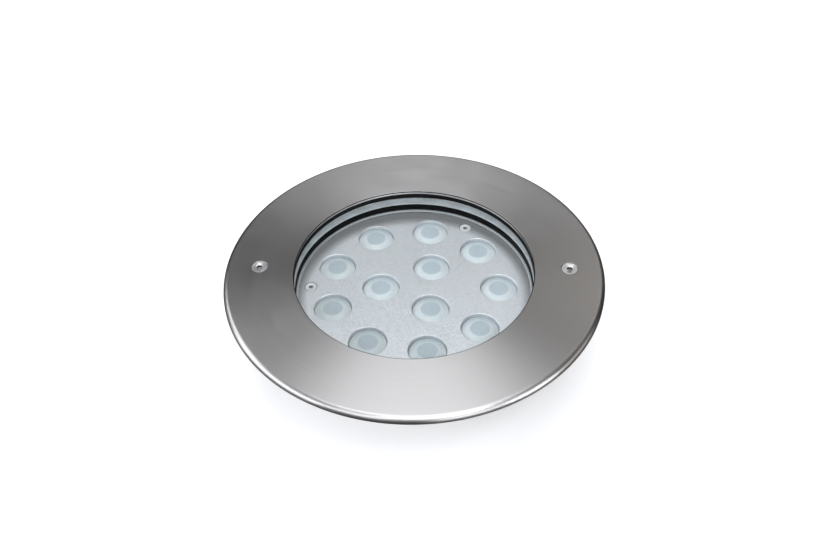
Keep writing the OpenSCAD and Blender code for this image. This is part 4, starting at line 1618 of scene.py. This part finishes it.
@dataclass
class RearCover:
    """Cover that closes the neck, with its O-ring and six screws."""

    cover: Extent
    neck_low: float
    spigot_r: float = 42.7
    spigot_wall: float = 4.5
    spigot_h: float = 6.0
    groove_r: float = 41.0
    groove_h: float = 2.4
    seal_r: float = 0.95
    screw_circle: float = 47.0
    screw_len: float = 11.5
    sink: float = 0.1
    mouth_r: float = 3.1
    hole_r: float = 1.75

    def build(self) -> None:
        """Makes the cover, its seal and its screws."""
        steel = TurnedSteel(
            "turned_cover_steel", tint=(0.56, 0.555, 0.545), roughness=0.34, pitch=0.5, depth=0.0012
        ).material()
        bright = SatinMetal("rear_screw_steel").material()
        black = Moulded("o_ring_rubber", (0.012, 0.012, 0.013), roughness=0.4, lift=1.6).material()
        hand_over(self.disc(), "rear_cover", steel)
        groove_z = self.neck_low + self.spigot_h / 2
        ring = Shape.torus(self.groove_r + self.seal_r + 0.05, groove_z, self.seal_r)
        hand_over(ring, "rear_o_ring", black)
        size = Screw(
            thread_r=1.5, pitch=0.5, head_r=2.75, top=-self.sink, low=-self.screw_len, socket=2.0,
            socket_depth=1.3, turn_steps=16,
        )
        places = self.places()
        metals = [bright, shaded_steel("rear_socket_shade")]
        hand_over(size.shape().placed(*places), "rear_cover_screws", metals)

    def places(self) -> list[Matrix]:
        """Places of the screws, with their heads down."""
        return [head_down(60 * k, self.screw_circle, self.cover.low) for k in range(6)]

    def disc(self) -> Shape:
        """Makes the cover with its grooved spigot and its countersinks."""
        groove_z = self.neck_low + self.spigot_h / 2
        inner_r = self.spigot_r - self.spigot_wall
        top = self.neck_low + self.spigot_h
        disc = Shape.turned([
            Corner(0, self.cover.low), Corner(self.cover.r, self.cover.low, 0.6),
            Corner(self.cover.r, self.neck_low, 0.2), Corner(self.spigot_r, self.neck_low),
            Corner(self.spigot_r, groove_z - self.groove_h / 2, 0.15),
            Corner(self.groove_r, groove_z - self.groove_h / 2),
            Corner(self.groove_r, groove_z + self.groove_h / 2),
            Corner(self.spigot_r, groove_z + self.groove_h / 2, 0.15),
            Corner(self.spigot_r, top, 0.5), Corner(inner_r, top, 0.4),
            Corner(inner_r, self.neck_low, 0.8), Corner(0, self.neck_low),
        ])
        low = self.cover.low - self.neck_low - PAST
        sink = countersink_tool(self.mouth_r, self.hole_r, 0, low)
        places = self.places()
        return disc.cut(sink.placed(*places))


@dataclass
class CableGland:
    """Cable gland along +Y: body, O-ring, seal and nut."""

    axis_z: float
    boss_y: float
    thread_r: float = 8.0
    flats: float = 19.0
    throat_r: float = 5.0
    hexagon_t: float = 5.0
    sleeve_len: float = 9.0
    ring_r: float = 0.75
    seal_wall: float = 1.5
    cable_r: float = 4.5
    nut_gap: float = 0.5
    nut_len: float = 13.0
    nut_hexagon: float = 9.1
    thread_len: float = 10.5
    chamfer: float = 0.8
    chamfer_h: float = 0.5
    seal_short: float = 2.4
    seat_h: float = 1.0
    nut_lip: float = 2.0

    @property
    def hex_y(self) -> float:
        """Place along Y where the body's hexagon ends."""
        return self.boss_y + self.hexagon_t

    def build(self) -> None:
        """Makes the four pieces of the gland."""
        nickel = SatinMetal("gland_nickel", (0.60, 0.585, 0.55), roughness=0.24, grain=0.6)
        black = Moulded("gland_rubber", (0.02, 0.02, 0.021), roughness=0.5, lift=1.5).material()
        metal = nickel.material()
        at = along_y(self.axis_z)
        ring_at = self.boss_y + self.ring_r
        ring = Shape.torus(self.thread_r + self.ring_r + 0.05, ring_at, self.ring_r)
        seal_end = self.hex_y + self.nut_gap + self.nut_len - self.seal_short
        seal_r = self.cable_r + self.seal_wall
        seal_start = self.hex_y - self.seat_h
        seal = Shape.band(self.cable_r, seal_r, seal_start, seal_end, 0.4, MIDDLE_STEPS)
        hand_over(self.body().placed(at), "gland_body", metal)
        hand_over(ring.placed(at), "gland_o_ring", black)
        hand_over(seal.placed(at), "gland_seal", black)
        hand_over(self.nut().placed(at), "gland_nut", metal)

    def hexagon(self, profile: Sequence[Corner]) -> Shape:
        """Turns a profile and keeps what lies inside the hexagon."""
        low, high = profile[0].z - PAST, profile[-1].z + PAST
        corner_r = self.flats / math.sqrt(3)
        return Shape.turned(profile, MIDDLE_STEPS).keep(Shape.bar(6, corner_r, low, high))

    def body(self) -> Shape:
        """Makes the gland's body, hollow all through."""
        low, end = self.boss_y - self.thread_len, self.hex_y + self.sleeve_len
        corner_r = self.flats / math.sqrt(3)
        blank = self.hexagon([
            Corner(0, low), Corner(self.thread_r, low, 0.6), Corner(self.thread_r, self.boss_y),
            Corner(corner_r - self.chamfer, self.boss_y, 0.2),
            Corner(corner_r, self.boss_y + self.chamfer_h, 0.2),
            Corner(corner_r, self.hex_y - self.chamfer_h, 0.2),
            Corner(corner_r - self.chamfer, self.hex_y, 0.2),
            Corner(self.thread_r - 0.2, self.hex_y, 0.2), Corner(self.thread_r - 0.2, end, 0.4),
            Corner(0, end),
        ])
        seat_r = self.cable_r + self.seal_wall + 0.1
        bore = Shape.turned(
            [
                Corner(0, low - PAST), Corner(self.throat_r, low - PAST),
                Corner(self.throat_r, self.hex_y - self.seat_h),
                Corner(seat_r, self.hex_y - self.seat_h),
                Corner(seat_r, end + PAST), Corner(0, end + PAST),
            ],
            MIDDLE_STEPS,
        )
        groove_r = self.thread_r + 2 * self.ring_r + 0.1
        groove_end = self.boss_y + 2 * self.ring_r + 0.05
        groove = Shape.band(
            self.thread_r, groove_r, self.boss_y - PAST, groove_end, steps=MIDDLE_STEPS
        )
        return blank.cut(bore).cut(groove)

    def nut(self) -> Shape:
        """Makes the gland's nut with its domed end."""
        low = self.hex_y + self.nut_gap
        end = low + self.nut_len
        corner_r, cone_r = self.flats / math.sqrt(3), self.flats / 2
        blank = self.hexagon([
            Corner(0, low), Corner(corner_r - self.chamfer, low, 0.2),
            Corner(corner_r, low + self.chamfer_h, 0.2),
            Corner(corner_r, low + self.nut_hexagon - self.chamfer, 0.2),
            Corner(cone_r, low + self.nut_hexagon, 0.2), Corner(0.8 * cone_r, end, 0.8, 6),
            Corner(0, end),
        ])
        bore = Shape.turned(
            [
                Corner(0, low - PAST), Corner(self.thread_r - 0.1, low - PAST),
                Corner(self.thread_r - 0.1, end - self.nut_lip),
                Corner(self.throat_r, end - self.nut_lip),
                Corner(self.throat_r, end + PAST), Corner(0, end + PAST),
            ],
            MIDDLE_STEPS,
        )
        return blank.cut(bore)


@dataclass
class HeatPath:
    """Lamp board, thermal pad, heat spreader, their screws and the leads to the driver."""

    board: Extent
    pad: Extent
    spreader: Extent
    lead_low: float
    lead_hole_r: float = 5.0
    free_r: float = 1.75
    screw_circle: float = 36.0
    post_circle: float = 62.7
    lead_r: float = 0.8
    lead_x: float = 2.0
    lead_bend: float = 2.0
    lead_run: float = 5.0

    def build(self) -> None:
        """Makes the layers, the screws and the leads."""
        mask = PrintedBoard("white_solder_mask", (0.74, 0.75, 0.74), (0.62, 0.63, 0.62)).material()
        soft = Moulded("thermal_gel", (0.36, 0.37, 0.38), roughness=0.7).material()
        plain = TurnedSteel("turned_aluminium", tint=(0.66, 0.665, 0.67), roughness=0.38).material()
        bright = SatinMetal("board_screw_steel").material()
        hand_over(self.layer(self.board, 0.15), "led_board", mask)
        hand_over(self.layer(self.pad, 0.1), "thermal_pad", soft)
        hand_over(self.layer(self.spreader, 0.4), "heat_spreader", plain)
        size = Screw(
            thread_r=1.5, pitch=0.5, head_r=2.8, top=self.board.high + 2, low=self.spreader.low - 3,
            socket=0.9, socket_depth=1.0, drive=Drive.SLOT, turn_steps=16,
        )
        screws = size.shape().placed(*circle(3, self.screw_circle, 20))
        metals = [bright, shaded_steel("board_slot_shade")]
        hand_over(screws, "spreader_screws", metals)
        solder = SatinMetal("solder", (0.62, 0.62, 0.63), roughness=0.22).material()
        for name, tint, angle in (("red", (0.45, 0.02, 0.015), 0), ("black", (0.015,) * 3, 180)):
            sheath = Moulded(f"{name}_sheath", tint, roughness=0.35).material()
            lead = self.lead().placed(round_z(angle))
            hand_over(lead, f"led_lead_{name}", [sheath, solder])

    def layer(self, extent: Extent, edge: float) -> Shape:
        """Makes one flat layer with its holes."""
        disc = Shape.band(self.lead_hole_r, extent.r, extent.low, extent.high, edge)
        span = (extent.low - PAST, extent.high + PAST)
        disc.drilled(self.free_r, *span, circle(3, self.screw_circle, 20))
        return disc.drilled(self.free_r, *span, circle(3, self.post_circle, 60))

    def lead(self) -> Shape:
        """Makes one lead that rises, bends outwards and ends in solder on the board."""
        level = self.board.high + self.lead_r + 0.05
        shape = Shape()
        bmesh.ops.create_circle(shape.bm, cap_ends=True, segments=16, radius=self.lead_r)
        bmesh.ops.translate(shape.bm, vec=(self.lead_x, 0, self.lead_low), verts=shape.bm.verts)
        rise = Vector((0, 0, level - self.lead_bend - self.lead_low))
        end = shape.drawn_out(list(shape.bm.faces), rise)
        turned = bmesh.ops.spin(
            shape.bm, geom=end, cent=(self.lead_x + self.lead_bend, 0, level - self.lead_bend),
            axis=(0, 1, 0), angle=math.pi / 2, steps=8,
        )["geom_last"]
        face = [item for item in turned if isinstance(item, bmesh.types.BMFace)]
        bare = 0.3 * self.lead_run
        tip = shape.drawn_out(face, Vector((self.lead_run - bare, 0, 0)))
        shape.drawn_out(tip, Vector((bare, 0, 0)))
        shape.closed()
        for item in shape.bm.faces:
            if item.calc_center_median().x > self.lead_x + self.lead_bend + self.lead_run - bare:
                item.material_index = 1
        return shape


@dataclass
class Driver:
    """Constant-current driver that hangs under the floor on three stand-offs."""

    board: Extent
    floor_low: float
    circle_r: float = 32.0
    flats: float = 5.5
    stud_r: float = 1.5
    stud_len: float = 2.7
    bore_r: float = 1.6
    web: float = 1.0
    free_r: float = 1.75
    lead_x: float = 2.0
    lead_hole_r: float = 0.9
    coil_at: tuple[float, float] = (-16, -6)
    coil_w: float = 14.0
    coil_h: float = 8.0
    can_at: tuple[tuple[float, float], ...] = ((12, -12), (20.5, -4.5), (3.5, -18))
    can_r: float = 4.0
    can_h: float = 11.0
    chip_at: tuple[float, float] = (12, 4)
    chip_size: Place = (6, 5, 1.8)
    block_at: tuple[float, float] = (0, 23)
    block_size: Place = (15, 9, 10)
    block_sink: float = 1.0
    block_slot: Place = (0.7, 4, 1.4)

    def build(self) -> None:
        """Makes the driver's pieces."""
        mask = PrintedBoard("green_solder_mask", (0.02, 0.13, 0.055), (0.05, 0.24, 0.10)).material()
        brass = SatinMetal("standoff_brass", (0.72, 0.52, 0.25), roughness=0.3).material()
        bright = SatinMetal("driver_screw_steel").material()
        tinned = SatinMetal("tinned_copper", (0.64, 0.64, 0.65), roughness=0.25).material()
        hand_over(self.disc(), "driver_board", mask)
        hand_over(self.standoffs(), "driver_standoffs", brass)
        size = Screw(
            thread_r=1.5, pitch=0.5, head_r=2.8, top=2, low=-4.3, socket=0.9, socket_depth=1.0,
            drive=Drive.SLOT, turn_steps=16,
        )
        places = [head_down(30 + 120 * k, self.circle_r, self.board.low) for k in range(3)]
        metals = [bright, shaded_steel("driver_slot_shade")]
        hand_over(size.shape().placed(*places), "driver_screws", metals)
        ferrite = Moulded("ferrite", (0.07, 0.07, 0.072), roughness=0.6, grain=0.2).material()
        wire = SatinMetal("enamelled_wire", (0.62, 0.24, 0.10), roughness=0.3).material()
        hand_over(self.inductor(), "driver_inductor", [ferrite, wire])
        sleeve = Moulded("blue_sleeve", (0.02, 0.035, 0.11), roughness=0.3).material()
        hand_over(self.capacitors(), "driver_capacitors", [sleeve, tinned])
        epoxy = Moulded("epoxy", (0.02, 0.02, 0.021), roughness=0.5, grain=0.15).material()
        hand_over(self.chip(), "driver_chip", [epoxy, tinned])
        green = Moulded("green_nylon", (0.03, 0.26, 0.10), roughness=0.4).material()
        hand_over(self.terminals(), "terminal_block", [green, tinned])

    def disc(self) -> Shape:
        """Makes the driver board."""
        disc = Shape.band(0, self.board.r, self.board.low, self.board.high, 0.15)
        span = (self.board.low - PAST, self.board.high + PAST)
        disc.drilled(self.free_r, *span, circle(3, self.circle_r, 30))
        return disc.drilled(self.lead_hole_r, *span, circle(2, self.lead_x))

    def standoffs(self) -> Shape:
        """Makes the three hexagonal stand-offs with their studs."""
        low, top = self.board.high, self.floor_low
        corner_r = self.flats / math.sqrt(3)
        post = Shape.turned(
            [
                Corner(0, low), Corner(corner_r - 0.25, low, 0.1), Corner(corner_r, low + 0.2),
                Corner(corner_r, top - 0.2), Corner(corner_r - 0.25, top, 0.1),
                Corner(self.stud_r, top), Corner(self.stud_r, top + self.stud_len, 0.3),
                Corner(0, top + self.stud_len),
            ],
            SMALL_STEPS,
        ).keep(Shape.bar(6, corner_r, low - PAST, top + 5))
        post.drilled(self.bore_r, low - PAST, top - self.web, [Matrix()])
        return post.placed(*circle(3, self.circle_r, 30))

    def under(self, at: tuple[float, float]) -> Matrix:
        """Transform that hangs a shape under the board at a place."""
        return Matrix.Translation((*at, self.board.low)) @ Matrix.Rotation(math.pi, 4, "X")

    def inductor(self) -> Shape:
        """Makes two square flanges with a wound coil between them."""
        flange = self.coil_h / 4
        core_r, wire_r = 0.38 * self.coil_w, 0.28
        size = (self.coil_w, self.coil_w, flange)
        ends = [Shape.block(size, (0, 0, flange * level), 0.5) for level in (0.5, 3.5)]
        core = Shape.band(0, core_r, flange - 0.1, 3 * flange + 0.1, steps=SMALL_STEPS)
        coil = Shape()
        bmesh.ops.create_circle(coil.bm, segments=8, radius=wire_r)
        start = Matrix.Translation((core_r + wire_r, 0, flange + wire_r))
        upright = start @ Matrix.Rotation(math.pi / 2, 4, "X")
        bmesh.ops.transform(coil.bm, matrix=upright, verts=coil.bm.verts)
        turns = int((2 * flange - 2 * wire_r) / (2.05 * wire_r))
        steps = 24 * turns
        climb = (2 * flange - 2 * wire_r) / steps
        coil.spin(turns * math.tau, steps, climb)
        bmesh.ops.holes_fill(coil.bm, edges=coil.bm.edges, sides=8)
        coil.closed().painted(1)
        whole = Shape().add(*ends, core, coil)
        return whole.placed(self.under(self.coil_at))

    def capacitors(self) -> Shape:
        """Makes the cans, each with a rolled bead and a bare end."""
        can = Shape.turned(
            [
                Corner(0, 0), Corner(self.can_r, 0, 0.2), Corner(self.can_r, 1.0, 0.2),
                Corner(self.can_r - 0.4, 1.4, 0.2), Corner(self.can_r, 1.8, 0.2),
                Corner(self.can_r, self.can_h, 0.4), Corner(self.can_r - 0.6, self.can_h, 0.1),
                Corner(self.can_r - 0.6, self.can_h - 0.15), Corner(0, self.can_h - 0.15),
            ],
            SMALL_STEPS,
        )
        for face in can.bm.faces:
            middle = face.calc_center_median()
            bare = math.hypot(middle.x, middle.y) < self.can_r - 0.65 and middle.z > 1
            face.material_index = int(bare)
        return can.placed(*[self.under(at) for at in self.can_at])

    def chip(self) -> Shape:
        """Makes the chip with four legs on each side."""
        wide, deep, high = self.chip_size
        body = Shape.block(self.chip_size, (0, 0, high / 2), 0.2)
        for k in range(4):
            x = (k + 0.5) * wide / 4 - wide / 2
            leg = Shape.block((0.5, deep + 1.8, 0.3), (x, 0, 0.55), 0.08, 2)
            feet = [
                Shape.block((0.5, 0.5, 0.6), (x, side * (deep / 2 + 0.65), 0.3), 0.08, 2)
                for side in (-1, 1)
            ]
            body.add(leg.painted(1), *[foot.painted(1) for foot in feet])
        return body.placed(self.under(self.chip_at))

    def terminals(self) -> Shape:
        """Makes the terminal block with two wire entries and two clamp screws."""
        wide, deep, high = self.block_size
        entry_r, entry_z = wide / 7, 0.55 * high
        block = Shape.block(self.block_size, (0, 0, high / 2), 0.4)
        screws = Shape()
        for side in (-1, 1):
            x = side * wide / 4
            to_front = Matrix.Translation((x, 0, entry_z)) @ Matrix.Rotation(math.pi / 2, 4, "X")
            block.drilled(entry_r, 0, deep, [to_front])
            block.drilled(0.8 * entry_r, entry_z, high + PAST, [Matrix.Translation((x, 0, 0))])
            screw_top = high - self.block_sink
            screw_low = entry_z + self.block_sink
            screw = Shape.band(0, 0.75 * entry_r, screw_low, screw_top, 0.2, SMALL_STEPS)
            slot = Shape.block(self.block_slot, (0, 0, screw_top))
            screws.add(screw.cut(slot).placed(Matrix.Translation((x, 0, 0))))
        return block.add(screws.painted(1)).placed(self.under(self.block_at))


def main() -> None:
    """Builds the studio and every sub-assembly in order."""
    logging.basicConfig(level=logging.INFO, format="%(name)s: %(message)s")
    Studio().build()
    ring = Extent.of("face_ring")
    glass_seal = Extent.of("glass_gasket_upper")
    circle_r = max(abs(joint["pos_m"][0]) for joint in frame["joints"]) / MM
    board = Extent.of("led_board")
    FaceRing(ring, glass_seal.high, circle_r).build()
    FaceScrews(circle_r, ring.high).build()
    GlassSeat(
        Extent.of("glass"), glass_seal, Extent.of("glass_gasket_lower"), Extent.of("clamp_ring")
    ).build()
    lens = Extent.of("lens_1")
    lamps = Lamps(lens, board.high, lens.high)
    lamps.build()
    CoverPlate(
        Extent.of("cover_plate"), Extent.of("baffle_ring"), board.high, lamps.places()
    ).build()
    spreader, driver = Extent.of("heat_spreader"), Extent.of("driver_board")
    lead_low = Extent.of("led_lead_red").low
    HeatPath(board, Extent.of("thermal_pad"), spreader, lead_low).build()
    housing = Housing(Extent.of("housing"), spreader.low, circle_r)
    housing.build()
    Driver(driver, spreader.low - housing.floor_t).build()
    RearCover(Extent.of("rear_cover"), housing.flange.low).build()
    CableGland(housing.gland_z, housing.neck_r + housing.boss_out).build()


if __name__ == "__main__":
    main()
